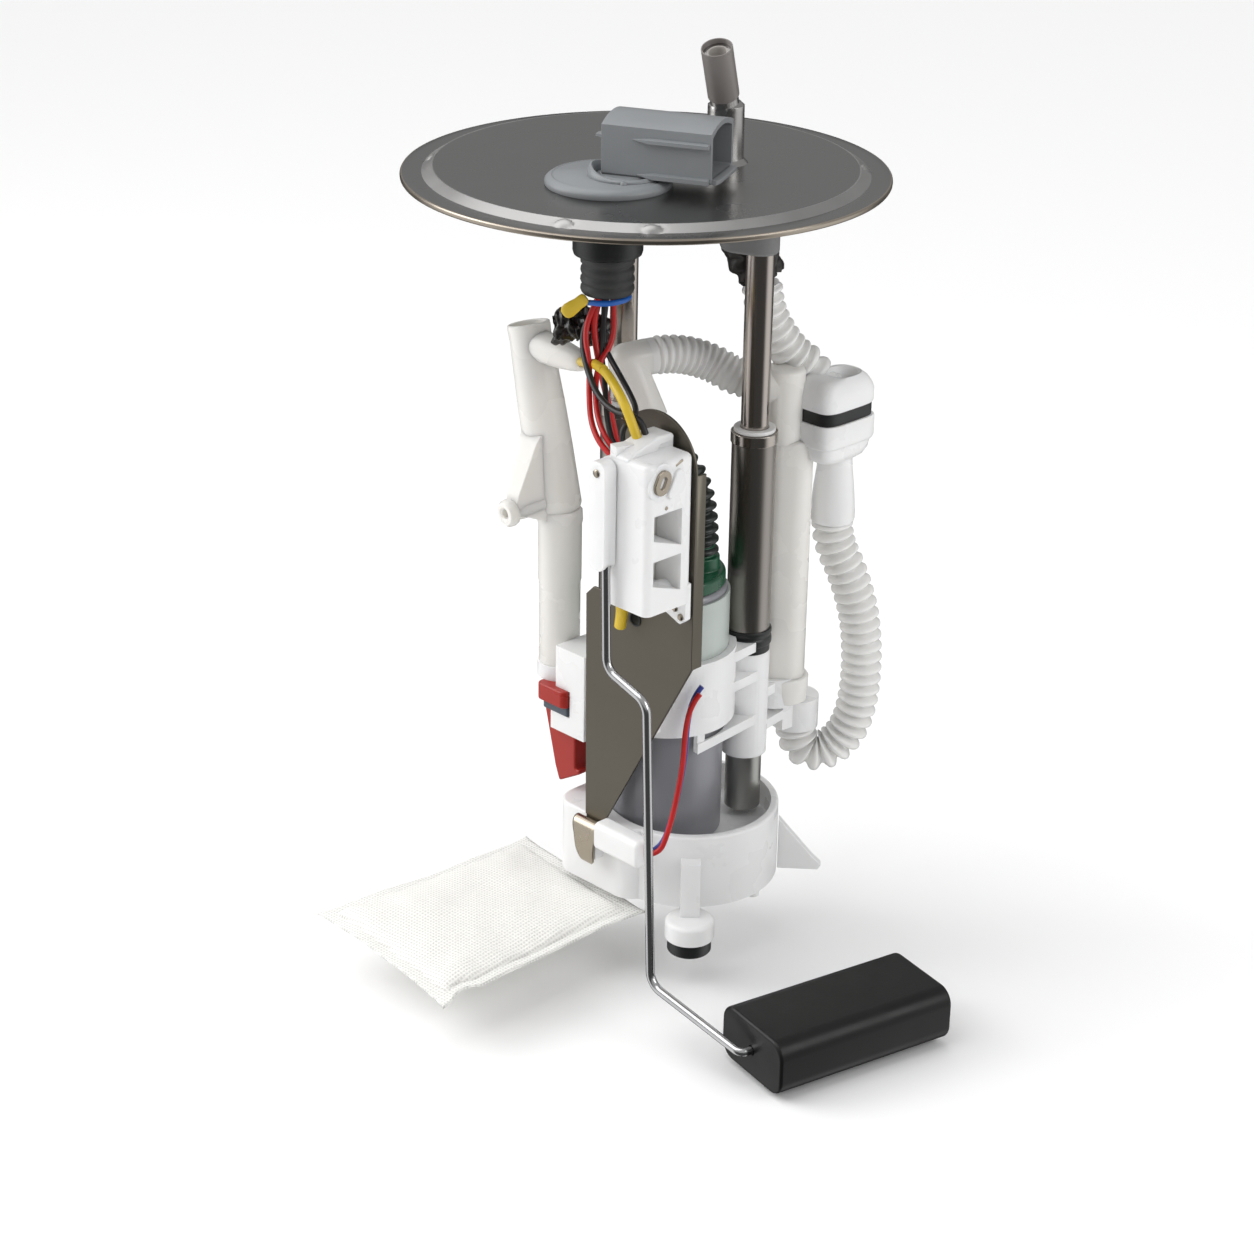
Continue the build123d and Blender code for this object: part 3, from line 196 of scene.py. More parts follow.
def moulded(name, colour, rough, change=0.08, cloud=60.0, grain=900.0, depth=0.00002, stretch=(1, 1, 1),
            metallic=0.0):
    """A material fed from the mottle group, on its object coordinates, with a small bump."""
    made = shade(name, colour, rough, metallic)
    tree = made.node_tree
    place = add_node(tree, "ShaderNodeTexCoord").outputs["Object"]
    turn = add_node(tree, "ShaderNodeMapping", {"Vector": place, "Scale": stretch}).outputs["Vector"]
    cast = add_node(tree, "ShaderNodeGroup", {"Vector": turn, "Colour": (*colour, 1.0), "Colour Change": change,
        "Cloud Scale": cloud, "Grain Scale": grain, "Rough Low": rough * 0.8, "Rough High": rough * 1.25},
        node_tree=MOTTLE).outputs
    bump = add_node(tree, "ShaderNodeBump", {"Height": cast["Height"], "Distance": depth}).outputs["Normal"]
    feed(tree.nodes["Principled BSDF"], {
        "Base Color": cast["Colour"], "Roughness": cast["Roughness"], "Normal": bump})
    return made


def steel(name, colour, rough, stretch=(1, 1, 1), change=0.12, grain=700.0):
    """Bare steel with a drawn or rolled grain along the axis that is stretched least."""
    return moulded(name, colour, rough, change, 40.0, grain, 0.000008, stretch, 1.0)


def node_mesh(*nodes):
    """The merged surface of CAD nodes, with flat areas made into whole faces."""
    shell = bmesh.new()
    for node in nodes:
        shell.from_mesh(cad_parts[node].data)
    bmesh.ops.remove_doubles(shell, verts=shell.verts, dist=0.000002)
    bmesh.ops.dissolve_limit(shell, angle_limit=radians(0.1), verts=shell.verts, edges=shell.edges)
    return shell


def new_piece(name, shell, material, slot, *nodes, body="carrier_assembly", sharp=35.0):
    """Makes a mesh object from a bmesh; it is smooth up to the sharp angle and rides on a body."""
    data = bpy.data.meshes.new(name)
    shell.to_mesh(data)
    shell.free()
    data.materials.append(material)
    data.shade_smooth()
    data.set_sharp_from_angle(angle=radians(sharp))
    piece = placed(name, data)
    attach(piece, body)
    if nodes:
        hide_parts(*nodes)
    return piece


def rounded(piece, width, steps=2, angle=32.0):
    """Rounds the piece's hard edges with a live bevel."""
    edge = piece.modifiers.new("edge_rounding", "BEVEL")
    edge.width = width
    edge.segments = steps
    edge.limit_method = "ANGLE"
    edge.angle_limit = radians(angle)
    edge.harden_normals = True
    edge.miter_outer = "MITER_ARC"
    return piece


def dressed(node, material, slot, width=0.0003, steps=2, body="carrier_assembly"):
    """The node's own shape with its edges broken as the moulded or pressed part has them."""
    return rounded(new_piece(node + "_part", node_mesh(node), material, slot, node, body=body), width, steps)


def upright(x, y, z=0.0):
    """Places millimetres from a point on the plate."""
    return Matrix.Translation((x / 1000, y / 1000, z / 1000)) @ Matrix.Scale(0.001, 4)


def pointing(start, way):
    """Places millimetres from a start, with the turned form's axis along a direction."""
    turn = Vector(way).to_track_quat("Z", "Y").to_matrix().to_4x4()
    return Matrix.Translation(Vector(start) / 1000) @ turn @ Matrix.Scale(0.001, 4)


def outward(shell):
    """Turns every face of closed forms outwards."""
    bmesh.ops.recalc_face_normals(shell, faces=shell.faces)
    return shell


def turned(shell, profile, place, steps=64, loop=False, lift=None):
    """Adds a turned form from (radius, height) pairs; it closes to its axis unless it is a loop."""
    if not loop:
        profile = [(0, profile[0][1])] * (profile[0][0] > 0) + profile + [(0, profile[-1][1])] * (profile[-1][0] > 0)
    rings = []
    for radius, height in profile:
        if radius < 0.0001:
            rings.append([shell.verts.new(place @ Vector((0.0, 0.0, height)))])
            continue
        ring = []
        for step in range(steps):
            angle = 2 * pi * step / steps
            rise = height if lift is None else lift(angle, radius, height)
            ring.append(shell.verts.new(place @ Vector((radius * cos(angle), radius * sin(angle), rise))))
        rings.append(ring)
    pairs = list(zip(rings, rings[1:]))
    if loop:
        pairs.append((rings[-1], rings[0]))
    for inner, outer in pairs:
        for step in range(steps):
            after = (step + 1) % steps
            if len(inner) == 1:
                shell.faces.new((inner[0], outer[step], outer[after]))
            elif len(outer) == 1:
                shell.faces.new((inner[step], outer[0], inner[after]))
            else:
                shell.faces.new((inner[step], outer[step], outer[after], inner[after]))
    return outward(shell)


RAISE_R, RAISE_FOOT_R, FLANGE_T, RAISE_H = 58.8, 61.6, 1.6, 1.75
PADS = [(-46.7, -37.4), (26.2, -56.6), (44.6, -42.0), (39.7, 43.6)]
PAD_REACH, PAD_HALF_LENGTH, PAD_HALF_WIDTH, PAD_DOME, PAD_PINCH = 60.3, 4.3, 2.3, 0.55, 0.42


def pressed(angle, radius, height):
    """Height of the plate's top with its shallow coined pads, each a lens with a pinched rim."""
    if height < FLANGE_T - 0.1:
        return height
    x, y = radius * cos(angle), radius * sin(angle)
    for pad_x, pad_y in PADS:
        reach = hypot(pad_x, pad_y)
        along = (-x * pad_y + y * pad_x) / reach
        out = (x * pad_x + y * pad_y) / reach - PAD_REACH
        away = hypot(along / PAD_HALF_LENGTH, out / PAD_HALF_WIDTH)
        if away < 1.0:
            pinch = max(0.0, 1 - abs(away - 0.62) / 0.26)
            height += PAD_DOME * (1 - away * away) ** 2 - PAD_PINCH * pinch
    return height


top = FLANGE_T + RAISE_H
rim = [(0, top), (12, top), (24, top), (36, top), (46, top), (53, top)]
rim += [(56.0 + 0.35 * step, top) for step in range(8)]
rim += [(RAISE_R + 2.8 * step / 10, top - RAISE_H * step / 10) for step in range(11)]
rim += [(61.9 + 0.4 * step, FLANGE_T) for step in range(8)]
rim += [(66.9, 1.6), (67.25, 1.5), (67.45, 1.2), (67.5, 0.8), (67.45, 0.4), (67.25, 0.1), (66.9, 0.0)]
rim += [(RAISE_FOOT_R - 0.2, 0.0), (RAISE_R - 0.6, RAISE_H), (40, RAISE_H), (0, RAISE_H)]
plate = turned(bmesh.new(), rim, upright(0, 0), 420, lift=pressed)
flange = new_piece("flange_plate_part", plate, steel("flange_metal", (0.25, 0.247, 0.243), 0.27, grain=420.0),
    "flange_steel", "flange_plate", body="flange_assembly", sharp=24.0)
# The band's steel is the plate's steel painted lighter: a painted highlight on the upward slope, and rougher as well.
flange.data.materials.append(steel("band_metal_painted_highlight", (0.42, 0.415, 0.41), 0.44, grain=900.0))
flange.data.materials.append(steel("lip_metal", (0.42, 0.37, 0.31), 0.3, grain=900.0))
BAND_FROM, BAND_TO, LIP_FROM = 0.0586, 0.0617, 0.0668
# Faces on the band's upward slope take the painted-highlight steel; faces past the lip take the lip steel.
for face in flange.data.polygons:
    reach = hypot(face.center.x, face.center.y)
    if BAND_FROM < reach < BAND_TO and face.normal.z > 0.1:
        face.material_index = 1
    elif reach > LIP_FROM:
        face.material_index = 2

# ------------ outlet nozzle
# Turned steel nozzle on a tapered foot, with a dark moulded sleeve pushed over its bent neck.
# The sleeve is what the fuel line's connector seals on; a pale liner with a stop sits in its bore.
dressed("outlet_tube", steel("nozzle_metal", (0.42, 0.41, 0.40), 0.24, (1, 1, 0.1)), "nozzle_steel",
    body="flange_assembly")
dressed("outlet_sleeve", moulded("sleeve_grey", (0.225, 0.205, 0.195), 0.3), "grey_plastic", body="flange_assembly")
BENT_NECK = pointing((12.8, 17.6, 17.35), (0.1464, -0.3623, 0.9205))
liner = turned(bmesh.new(), [(2.35, 6.0), (2.35, 19.2), (2.5, 19.45), (2.88, 19.45), (2.88, 6.0)], BENT_NECK, 48,
    loop=True)
turned(liner, [(2.6, 6.0), (2.6, 6.6)], BENT_NECK, 32)
new_piece("outlet_liner", liner, moulded("liner_grey", (0.5, 0.47, 0.44), 0.35, 0.15), "grey_plastic",
    body="flange_assembly", sharp=40.0)

# ------------ connector
# Grey moulding with a round bevelled foot on the plate and a box shroud turned on its neck.
# Tapered ribs run along the shroud's side; plated blade terminals stand inside it.
connector_grey = moulded("connector_grey", (0.25, 0.262, 0.272), 0.4, 0.06)
FOOT_AXIS, NECK_AXIS = upright(8.2, -22.3), upright(11.5, -19.5)


def neck_lift(angle, radius, height):
    """Height of the collar round the neck, which swells on the side away from the shroud."""
    return height + max(0.0, height - 6.1) * 2.2 * max(0.0, cos(angle - radians(212))) ** 2


foot = turned(bmesh.new(), [(14.6, 6.05), (14.8, 5.92), (15.2, 5.92), (15.4, 6.05), (15.8, 6.0), (16.6, 5.45),
    (17.1, 4.9), (17.2, 4.5), (17.2, 3.6), (17.0, 3.35)], FOOT_AXIS, 96)
turned(foot, [(8.2, 5.8), (9.9, 5.8), (10.1, 6.2), (10.0, 6.6), (9.5, 6.95), (9.0, 7.0), (8.5, 6.8), (8.2, 6.3)],
    NECK_AXIS, 80, loop=True, lift=neck_lift)
turned(foot, [(6.6, 6.7), (6.9, 6.4), (6.9, 5.8)], NECK_AXIS, 64)
turned(foot, [(0, 7.0), (0.6, 6.9), (0.9, 6.5), (0.9, 5.8)], upright(18.6, -26.9), 20)
new_piece("connector_foot", foot, connector_grey, "grey_plastic", "connector_base", body="flange_assembly",
    sharp=40.0)

SHROUD = Matrix.Translation((0.0179, -0.0101, 0.0066)) @ Matrix.Rotation(radians(26), 4, "Z") @ Matrix.Scale(0.001, 4)


def arched(half, low, high, rise):
    """Section across the shroud: a flat floor, upright sides and a low arch over them."""
    line = [(-half, low + 0.6), (-half + 0.6, low), (0.0, low), (half - 0.6, low), (half, low + 0.6), (half, high)]
    for step in range(1, 12):
        side = half * cos(pi * step / 12)
        line.append((side, high + rise * (1 - (side / half) ** 2)))
    return line + [(-half, high)]


def drawn_out(shell, sections, cap=True):
    """Joins rings of points along a form and closes its two ends."""
    rings = [[shell.verts.new(point) for point in section] for section in sections]
    for first, second in zip(rings, rings[1:]):
        for step in range(len(first)):
            after = (step + 1) % len(first)
            shell.faces.new((first[step], second[step], second[after], first[after]))
    if cap:
        shell.faces.new(rings[0])
        shell.faces.new(list(reversed(rings[-1])))
    return outward(shell)


def along_shroud(*levels):
    """Sections across the shroud, each one at its place along it."""
    return [[SHROUD @ Vector((x, y, z)) for y, z in section] for x, section in levels]


OUTER, INNER = arched(9.5, 0.0, 13.6, 2.0), arched(8.2, 1.3, 12.3, 1.9)
housing = drawn_out(bmesh.new(), along_shroud((-15.35, OUTER), (15.35, OUTER), (15.35, INNER), (-12.7, INNER)))
for height, start, thick in ((10.3, -6.5, 1.5), (0.9, -5.2, 1.7)):
    low, high = height - thick / 2, height + thick / 2
    tip = [(-9.4, height - 0.1), (-9.4, height + 0.1), (-9.6, height + 0.1), (-9.6, height - 0.1)]
    full = [(-9.4, low), (-9.4, high), (-11.0, high - 0.2), (-11.0, low + 0.2)]
    drawn_out(housing, along_shroud((start, tip), (start + 4.5, full), (14.9, full)))
lip = [(-8.6, 0.0), (-8.6, 1.3), (8.6, 1.3), (8.6, 0.0)]
lip_edge = [(-7.2, 0.2), (-7.2, 1.1), (7.2, 1.1), (7.2, 0.2)]
drawn_out(housing, along_shroud((14.9, lip), (16.6, lip), (17.3, lip_edge)))
tab = [(-6.6, 9.1), (-6.6, 10.1), (-3.0, 10.1), (-3.0, 9.1)]
tab_end = [(y * 0.7 - 1.4, z * 0.8 + 1.9) for y, z in tab]
drawn_out(housing, along_shroud((-18.2, tab_end), (-15.2, tab)))
shroud = new_piece("connector_housing", housing, connector_grey, "grey_plastic", "connector_shroud",
    body="flange_assembly", sharp=30.0)
rounded(shroud, 0.0003, 2)
dressed("connector_terminals", steel("brass_plate", (0.75, 0.62, 0.38), 0.3), "brass_plate", 0.0002,
    body="flange_assembly")

# ------------ wire boot
# Soft dark bellows under a deep black collar, both moulded rubber. They seal the wires where
# these pass the plate.
boot_black = moulded("boot_black", (0.016, 0.018, 0.018), 0.42, 0.3)
collar = turned(bmesh.new(), [(4, 1.75), (9.9, 1.75), (10, 1.4), (10, -7.0), (9.6, -7.4), (9.6, -14.6),
    (9.3, -15.6), (8.6, -16.0), (4, -16.0)], FOOT_AXIS, 80, loop=True)
new_piece("boot_collar_part", collar, boot_black, "black_rubber", "boot_collar", body="flange_assembly", sharp=40.0)
folds = [(0, -15.5), (7.3, -15.5), (7.45, -16.6), (7.4, -17.9), (7.0, -18.3), (6.85, -18.6), (6.95, -19.0),
    (7.3, -19.5), (7.4, -20.2), (7.2, -20.9), (6.9, -21.2), (6.95, -21.7), (7.35, -22.2), (7.45, -22.9),
    (7.2, -23.5), (6.85, -23.8), (6.9, -24.2), (7.3, -24.7), (7.4, -25.4), (7.1, -26.2), (6.7, -26.7), (6.0, -27.0),
    (5.4, -26.8), (5.2, -25.8), (0, -25.6)]
new_piece("boot_bellows", turned(bmesh.new(), folds, FOOT_AXIS, 80),
    moulded("boot_grey", (0.045, 0.047, 0.046), 0.6, 0.25), "black_rubber", "wire_boot", body="flange_assembly",
    sharp=80.0)

# ------------ telescoping guides
# Polished rods hang from two bosses and run in drawn steel tubes with lipped plastic bushes.
# A spring in each tube pushes the carrier down until the rod's piston meets the bush.
tube_metal = steel("tube_metal", (0.42, 0.39, 0.36), 0.3, (1, 1, 0.05), 0.35)
ring_metal = steel("ring_metal", (0.5, 0.46, 0.42), 0.18)
bush_white = moulded("bush_white", (0.8, 0.8, 0.79), 0.4, 0.03)
dressed("guide_bosses", moulded("boss_grey", (0.2, 0.2, 0.2), 0.5, 0.1), "grey_plastic", 0.0005, 3,
    body="flange_assembly")
dressed("guide_rods", steel("rod_metal", (0.55, 0.50, 0.46), 0.2, (1, 1, 0.05), 0.3), "rod_chrome", 0.0002,
    body="flange_assembly")
dressed("rod_pistons", bush_white, "white_plastic", 0.0002, body="flange_assembly")
tip_metal = steel("tip_metal", (0.46, 0.46, 0.44), 0.34, (1, 1, 0.1), 0.2)
TIP_Z, TIP_EDGE_Z = -0.139, -0.1365
for part in ("guide_tube_right", "guide_tube_left"):
    tube = dressed(part, tube_metal, "tube_steel", 0.0004, 3)
    tube.data.materials.append(tip_metal)
    for face in tube.data.polygons:
        top = max(tube.data.vertices[index].co.z for index in face.vertices)
        if face.center.z < TIP_Z or top < TIP_EDGE_Z:
            face.material_index = 1
dressed("guide_bushes", bush_white, "white_plastic")
dressed("tube_rings", ring_metal, "rod_chrome", 0.0004, 3)
collars = bmesh.new()
for x, y in ((29.4, 15.5), (-12.5, 4.5)):
    turned(collars, [(6.4, -130.0), (6.75, -130.05), (6.95, -130.5), (6.95, -131.3), (6.7, -131.7), (6.65, -132.3),
        (6.9, -132.7), (7.0, -133.1), (7.0, -134.4), (6.8, -134.8), (6.5, -135.0), (6.5, -137.0), (6.4, -137.0)],
        upright(x, y), 72, loop=True)
new_piece("tube_collar_pair", collars, boot_black, "black_rubber", "tube_collars")
coils = new_piece("guide_spring_coils", node_mesh("guide_springs"), ring_metal, "rod_chrome", "guide_springs")
low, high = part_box("guide_springs")
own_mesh(coils)

# ------------ pump
# Drawn can in a thin clear sleeve, with a dark green end cap that carries the outlet.
# The can's paint is dull, and the sleeve and the cap are glossy.
dressed("pump_can", moulded("can_paint", (0.29, 0.292, 0.315), 0.38, stretch=(1, 1, 0.1), metallic=0.35), "can_grey")
dressed("pump_sleeve", moulded("sleeve_clear", (0.48, 0.53, 0.50), 0.22, 0.08), "sleeve_clear", 0.0002)
dressed("pump_cap", moulded("cap_green", (0.010, 0.10, 0.045), 0.3, 0.3), "green_plastic", 0.0005, 3)


# ------------ ribbed hoses
# Blow-moulded hoses with round ridges and narrow grooves, pushed over spigots at both ends.
# The pump's own riser is black; the others are milky and let some light through.
def milky(name, colour, rough, scatter=0.25):
    """Moulded plastic that lets a little light into it."""
    made = moulded(name, colour, rough, 0.04, 45.0, 700.0)
    feed(made.node_tree.nodes["Principled BSDF"], {"Subsurface Weight": scatter,
        "Subsurface Radius": (1.0, 0.95, 0.85), "Subsurface Scale": 0.003, "Specular IOR Level": 0.4})
    return made


def ridge_tree():
    """Tube along a curve whose radius rises and falls once in each pitch."""
    tree = bpy.data.node_groups.new("ridged_tube", "GeometryNodeTree")
    open_group(tree, {"Geometry": "Geometry", "Radius": "Float", "Ridge Depth": "Float", "Ridge Pitch": "Float",
        "Plain Start": "Float", "Plain End": "Float", "Material": "Material"}, {"Geometry": "Geometry"})

    def node(kind, inputs=None, **values):
        return add_node(tree, kind, inputs, **values).outputs

    def maths(kind, *terms):
        return worked(tree, kind, *terms)

    entry = node("NodeGroupInput")
    step = maths("DIVIDE", entry["Ridge Pitch"], 10.0)
    even = node("GeometryNodeResampleCurve", {"Curve": entry["Geometry"], "Length": step}, mode="LENGTH")
    along = node("GeometryNodeSplineParameter")["Length"]
    swing = maths("COSINE", maths("MULTIPLY", maths("DIVIDE", along, entry["Ridge Pitch"]), 2.0 * pi))
    groove = maths("POWER", maths("MULTIPLY", maths("ADD", swing, 1.0), 0.5), 1.5)
    left = maths("SUBTRACT", node("GeometryNodeSplineLength")["Length"], along)
    ribbed = maths("MULTIPLY", maths("GREATER_THAN", along, entry["Plain Start"]),
        maths("GREATER_THAN", left, entry["Plain End"]))
    plain = maths("MULTIPLY", maths("SUBTRACT", 1.0, ribbed), 0.45)
    share = maths("ADD", maths("MULTIPLY", groove, ribbed), plain)
    radius = maths("SUBTRACT", entry["Radius"], maths("MULTIPLY", share, entry["Ridge Depth"]))
    section = node("GeometryNodeCurvePrimitiveCircle", {"Resolution": 36, "Radius": 1.0})["Curve"]
    tube = node("GeometryNodeCurveToMesh", {"Curve": even["Curve"], "Profile Curve": section, "Scale": radius,
        "Fill Caps": True})
    smooth = node("GeometryNodeSetShadeSmooth", {"Geometry": tube["Mesh"]})
    real = node("GeometryNodeRealizeInstances", {"Geometry": smooth["Geometry"]})
    paint = node("GeometryNodeSetMaterial", {"Geometry": real["Geometry"], "Material": entry["Material"]})
    node("NodeGroupOutput", {"Geometry": paint["Geometry"]})
    return tree


RIDGED_TUBE = ridge_tree()


def smooth_path(name, points):
    """One open smooth spline with the given millimetre points as its control points."""
    line = bpy.data.curves.new(name, "CURVE")
    line.dimensions = "3D"
    line.resolution_u = 24
    run = line.splines.new("NURBS")
    run.points.add(len(points) - 1)
    for spot, point in zip(run.points, points):
        spot.co = (*(part / 1000 for part in point), 1.0)
    run.order_u = 3
    run.use_endpoint_u = True
    return line


def shaped(thing):
    """The plain mesh that an object has after its modifiers."""
    bpy.context.view_layer.update()
    return bpy.data.meshes.new_from_object(thing.evaluated_get(bpy.context.evaluated_depsgraph_get()))


def ribbed_hose(part, points, sizes, material):
    """A ribbed hose along its route, in place of the plain node."""
    name = part + "_ribbed_hose"
    values = dict(zip(("Radius", "Ridge Depth", "Ridge Pitch", "Plain Start", "Plain End"), sizes), Material=material)
    seed = placed(name + "_seed", smooth_path(name + "_route", points))
    maker = seed.modifiers.new("maker", "NODES")
    maker.node_group = RIDGED_TUBE
    for item in RIDGED_TUBE.interface.items_tree:
        if item.in_out == "INPUT" and item.name in values:
            maker[item.identifier] = values[item.name]
    hose = placed(name, shaped(seed))
    bpy.data.objects.remove(seed)
    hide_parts(part + "_hose")
    return hose


hose_milk = milky("hose_milk", (0.82, 0.815, 0.80), 0.15, scatter=0.35)
nylon = milky("nylon", (0.80, 0.785, 0.75), 0.26, scatter=0.4)
for part, route, sizes, skin, slot in (
        ("riser", [(25.7, -1.3, -104.0), (25.7, -1.3, -92.0), (21.2, -1.9, -80.0),
        (12.24, -3.76, -75.6), (8.2, -4.9, -67.5)], (0.0052, 0.0016, 0.0031, 0.0, 0.002),
        moulded("hose_black", (0.018, 0.024, 0.021), 0.32, 0.3), "black_hose"),
        ("cross", [(3.0, -1.2, -51.2), (5.93, 5.24, -50.42), (11.2, 15.4, -54.0), (18.12, 19.49, -58.38),
        (22.65, 24.73, -59.78)], (0.0055, 0.0008, 0.0022, 0.002, 0.0), hose_milk, "hose_plastic"),
        ("return", [(34.0, 45.2, -103.0), (34.0, 45.2, -109.5), (38.0, 49.2, -121.0), (41.2, 52.5, -137.0),
        (41.7, 53.0, -158.0), (39.6, 50.9, -172.5), (34.0, 45.3, -180.2), (28.0, 39.3, -176.8),
        (28.0, 39.3, -166.0)], (0.0061, 0.0022, 0.0034, 0.0, 0.0), hose_milk, "hose_plastic")):
    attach(ribbed_hose(part, route, sizes, skin), "carrier_assembly")
outlet = ribbed_hose("outlet", [(20.2, 26.4, -31.3), (20.5, 27.3, -38.7), (22.6, 30.8, -46.6), (25.2, 35.1, -53.4),
    (28.9, 40.2, -57.6), (29.6, 41.2, -62.0)], (0.0058, 0.0020, 0.0034, 0.0, 0.0), hose_milk)
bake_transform(outlet)

# ------------ white mouldings
# Moulded acetal for the carrier, cup, foot, plug and valve; nylon for the elbow, canister and pipe.
# They are glossy white, a little uneven where the melt cooled, with broken edges.
acetal = milky("acetal", (0.84, 0.84, 0.84), 0.3)
for part, width in (("riser_elbow", 0.0009), ("carrier", 0.0006), ("filter_canister", 0.0005),
        ("reservoir_cup", 0.0006), ("wire_plug", 0.0011), ("foot_cap", 0.0003), ("strainer_wing", 0.0003),
        ("sock_neck", 0.0002), ("pump_inlet", 0.0002)):
    dressed(part, nylon if part in ("riser_elbow", "filter_canister") else acetal, "white_plastic", width, 3)


CANISTER, COLUMN_STEP, CANISTER_R = (27.2, 30.0), 2.2, 5.83


def ovals(*levels, count=24):
    """Outlines round the filter canister and the column moulded beside it, each a height and a growth."""
    rings = []
    for z, wider in levels:
        rings.append([])
        for shift, first in ((0.0, 0.75 * pi), (COLUMN_STEP, -0.25 * pi)):
            for step in range(count + 1):
                angle = first + pi * step / count
                rings[-1].append(Vector((CANISTER[0] + shift + (CANISTER_R + wider) * cos(angle),
                    CANISTER[1] + shift + (CANISTER_R + wider) * sin(angle), z)) / 1000)
    return rings


shell = drawn_out(bmesh.new(), ovals((-154.0, -0.3), (-153.6, 0.0), (-77.2, 0.0), (-76.4, -0.3), (-76.0, -1.1)))
drawn_out(shell, ovals((-158.6, 0.3), (-158.2, 0.9), (-155.0, 1.2), (-151.0, 1.3), (-150.5, 1.0), (-150.4, 0.4)))
new_piece("canister_shell", shell, nylon, "white_plastic", sharp=50.0)

# ------------ standpipe
# Welded from two nylon tubes: an upright foot and a thicker leaning run with an open mouth.
# A tapered stub takes the earth lead, and a barb stands out on a thick web.
stand = turned(bmesh.new(), [(5.9, -146.5), (6.05, -146.2), (6.05, -119.0), (6.3, -118.2), (6.35, -101.0),
    (6.6, -99.8), (6.5, -97.0), (5.8, -96.2), (0, -96.0)], upright(-12.7, -19.8), 72)
turned(stand, [(5.5, -0.6), (5.6, 2.2), (6.5, 3.2), (7.0, 4.4), (7.0, 22.0), (6.8, 34.0), (6.3, 46.0), (6.05, 53.0),
    (6.2, 56.4), (6.1, 57.2), (5.6, 57.6), (5.1, 57.2), (4.9, 54.0), (4.8, 40.0)],
    pointing((-12.7, -19.8, -100.0), (-13.6, 0.0, 56.0)), 72)
turned(stand, [(4.8, -1.0), (4.6, 6.0), (4.15, 13.0), (3.5, 18.0), (3.0, 20.6), (2.6, 21.8), (2.0, 22.3),
    (1.5, 22.0), (1.4, 19.0)], pointing((-25.5, -19.8, -49.6), (1.0, -0.01, -0.03)), 56)
turned(stand, [(3.1, 0), (3.0, 13.0), (2.7, 14.6), (2.8, 15.2), (3.7, 15.8), (4.0, 16.8), (3.9, 18.0), (3.3, 18.8),
    (2.1, 18.9), (1.5, 18.4), (1.3, 14.0)], pointing((-13.9, -19.8, -93.2), (-0.11, -1.0, -0.07)), 48)
WEB = ((-19.0, -73.0, -18.6, 4.2), (-26.0, -73.8, -18.4, 4.0), (-27.6, -75.4, -18.0, 3.8),
    (-35.2, -89.0, -15.9, 2.6), (-35.8, -91.4, -15.7, 2.4), (-35.2, -94.8, -15.5, 2.4), (-26.0, -98.8, -14.2, 3.0),
    (-19.0, -101.0, -13.2, 3.6))
drawn_out(stand, [[Vector((centre + side * half, y, z)) / 1000 for y, z, centre, half in WEB] for side in (-1, 1)])
rounded(new_piece("standpipe_part", stand, nylon, "white_plastic", "standpipe", sharp=40.0), 0.0012, 3, 50.0)

# ------------ pressure valve
# Two white halves with a black seal clamped between them; the lid has a round bowl in it.
# A tapered tail under it takes the return hose.
VALVE = (35.4, 42.3)


def plan_rings(*levels, count=64):
    """Levels of a moulded body: half sizes, squareness (2 is round), height and any shift of each."""
    rings = []
    for half_x, half_y, power, z, *shift in levels:
        shift_x, shift_y = shift or (0.0, 0.0)
        rings.append([])
        for step in range(count):
            angle = 2 * pi * step / count
            x = abs(cos(angle)) ** (2 / power) * (1 if cos(angle) > 0 else -1)
            y = abs(sin(angle)) ** (2 / power) * (1 if sin(angle) > 0 else -1)
            rings[-1].append(Vector(((VALVE[0] + shift_x + half_x * x) / 1000,
                (VALVE[1] + shift_y + half_y * y) / 1000, z / 1000)))
    return rings


lid = plan_rings((5.6, 9.0, 4.5, -66.6), (7.3, 10.7, 4.5, -66.6), (7.5, 11.0, 4.5, -66.2), (7.5, 11.0, 4.5, -62.4),
    (7.2, 10.7, 4.2, -61.2), (6.9, 10.2, 4.0, -60.2), (6.4, 9.4, 3.6, -58.9), (5.7, 8.2, 3.2, -57.9),
    (5.2, 6.9, 2.8, -57.5, 0.3, 0.8), (4.6, 5.4, 2.2, -57.6, 0.8, 2.0), (4.3, 4.7, 2.0, -58.2, 0.9, 2.4),
    (3.9, 4.1, 2.0, -60.6, 0.9, 2.6), (2.6, 2.8, 2.0, -61.4, 0.9, 2.6), (0.4, 0.4, 2.0, -61.5, 0.9, 2.6))
valve = drawn_out(bmesh.new(), lid)
turned(valve, [(6.6, -66.0), (6.9, -61.6), (6.8, -60.0), (6.2, -59.4)], upright(29.6, 41.2), 48)
new_piece("valve_lid", valve, acetal, "white_plastic", "valve_top", sharp=50.0)
seal = drawn_out(bmesh.new(), plan_rings((7.1, 10.6, 4.5, -70.6), (7.1, 10.6, 4.5, -66.5)))
new_piece("valve_seal", seal, boot_black, "black_rubber", "valve_band", sharp=50.0)
bowl = plan_rings((5.6, 9.0, 4.5, -70.4), (7.7, 11.1, 4.5, -70.4), (7.9, 11.4, 4.5, -70.8), (7.9, 11.4, 4.5, -76.6),
    (7.6, 11.1, 4.4, -77.4), (7.2, 10.6, 4.2, -77.6), (6.9, 10.1, 4.0, -80.2), (6.2, 9.0, 3.4, -82.0),
    (5.0, 7.2, 2.8, -83.0), (2.0, 3.0, 2.2, -83.2))
body = drawn_out(bmesh.new(), bowl)
turned(body, [(4.9, -80.0), (5.0, -84.0), (5.3, -88.0), (5.9, -93.0), (6.4, -99.0), (6.5, -102.6), (6.2, -103.6),
    (5.2, -103.9)], upright(34.0, 45.2), 48)
turned(body, [(2.2, -72.0), (2.2, -79.0)], upright(30.6, 35.0), 24)
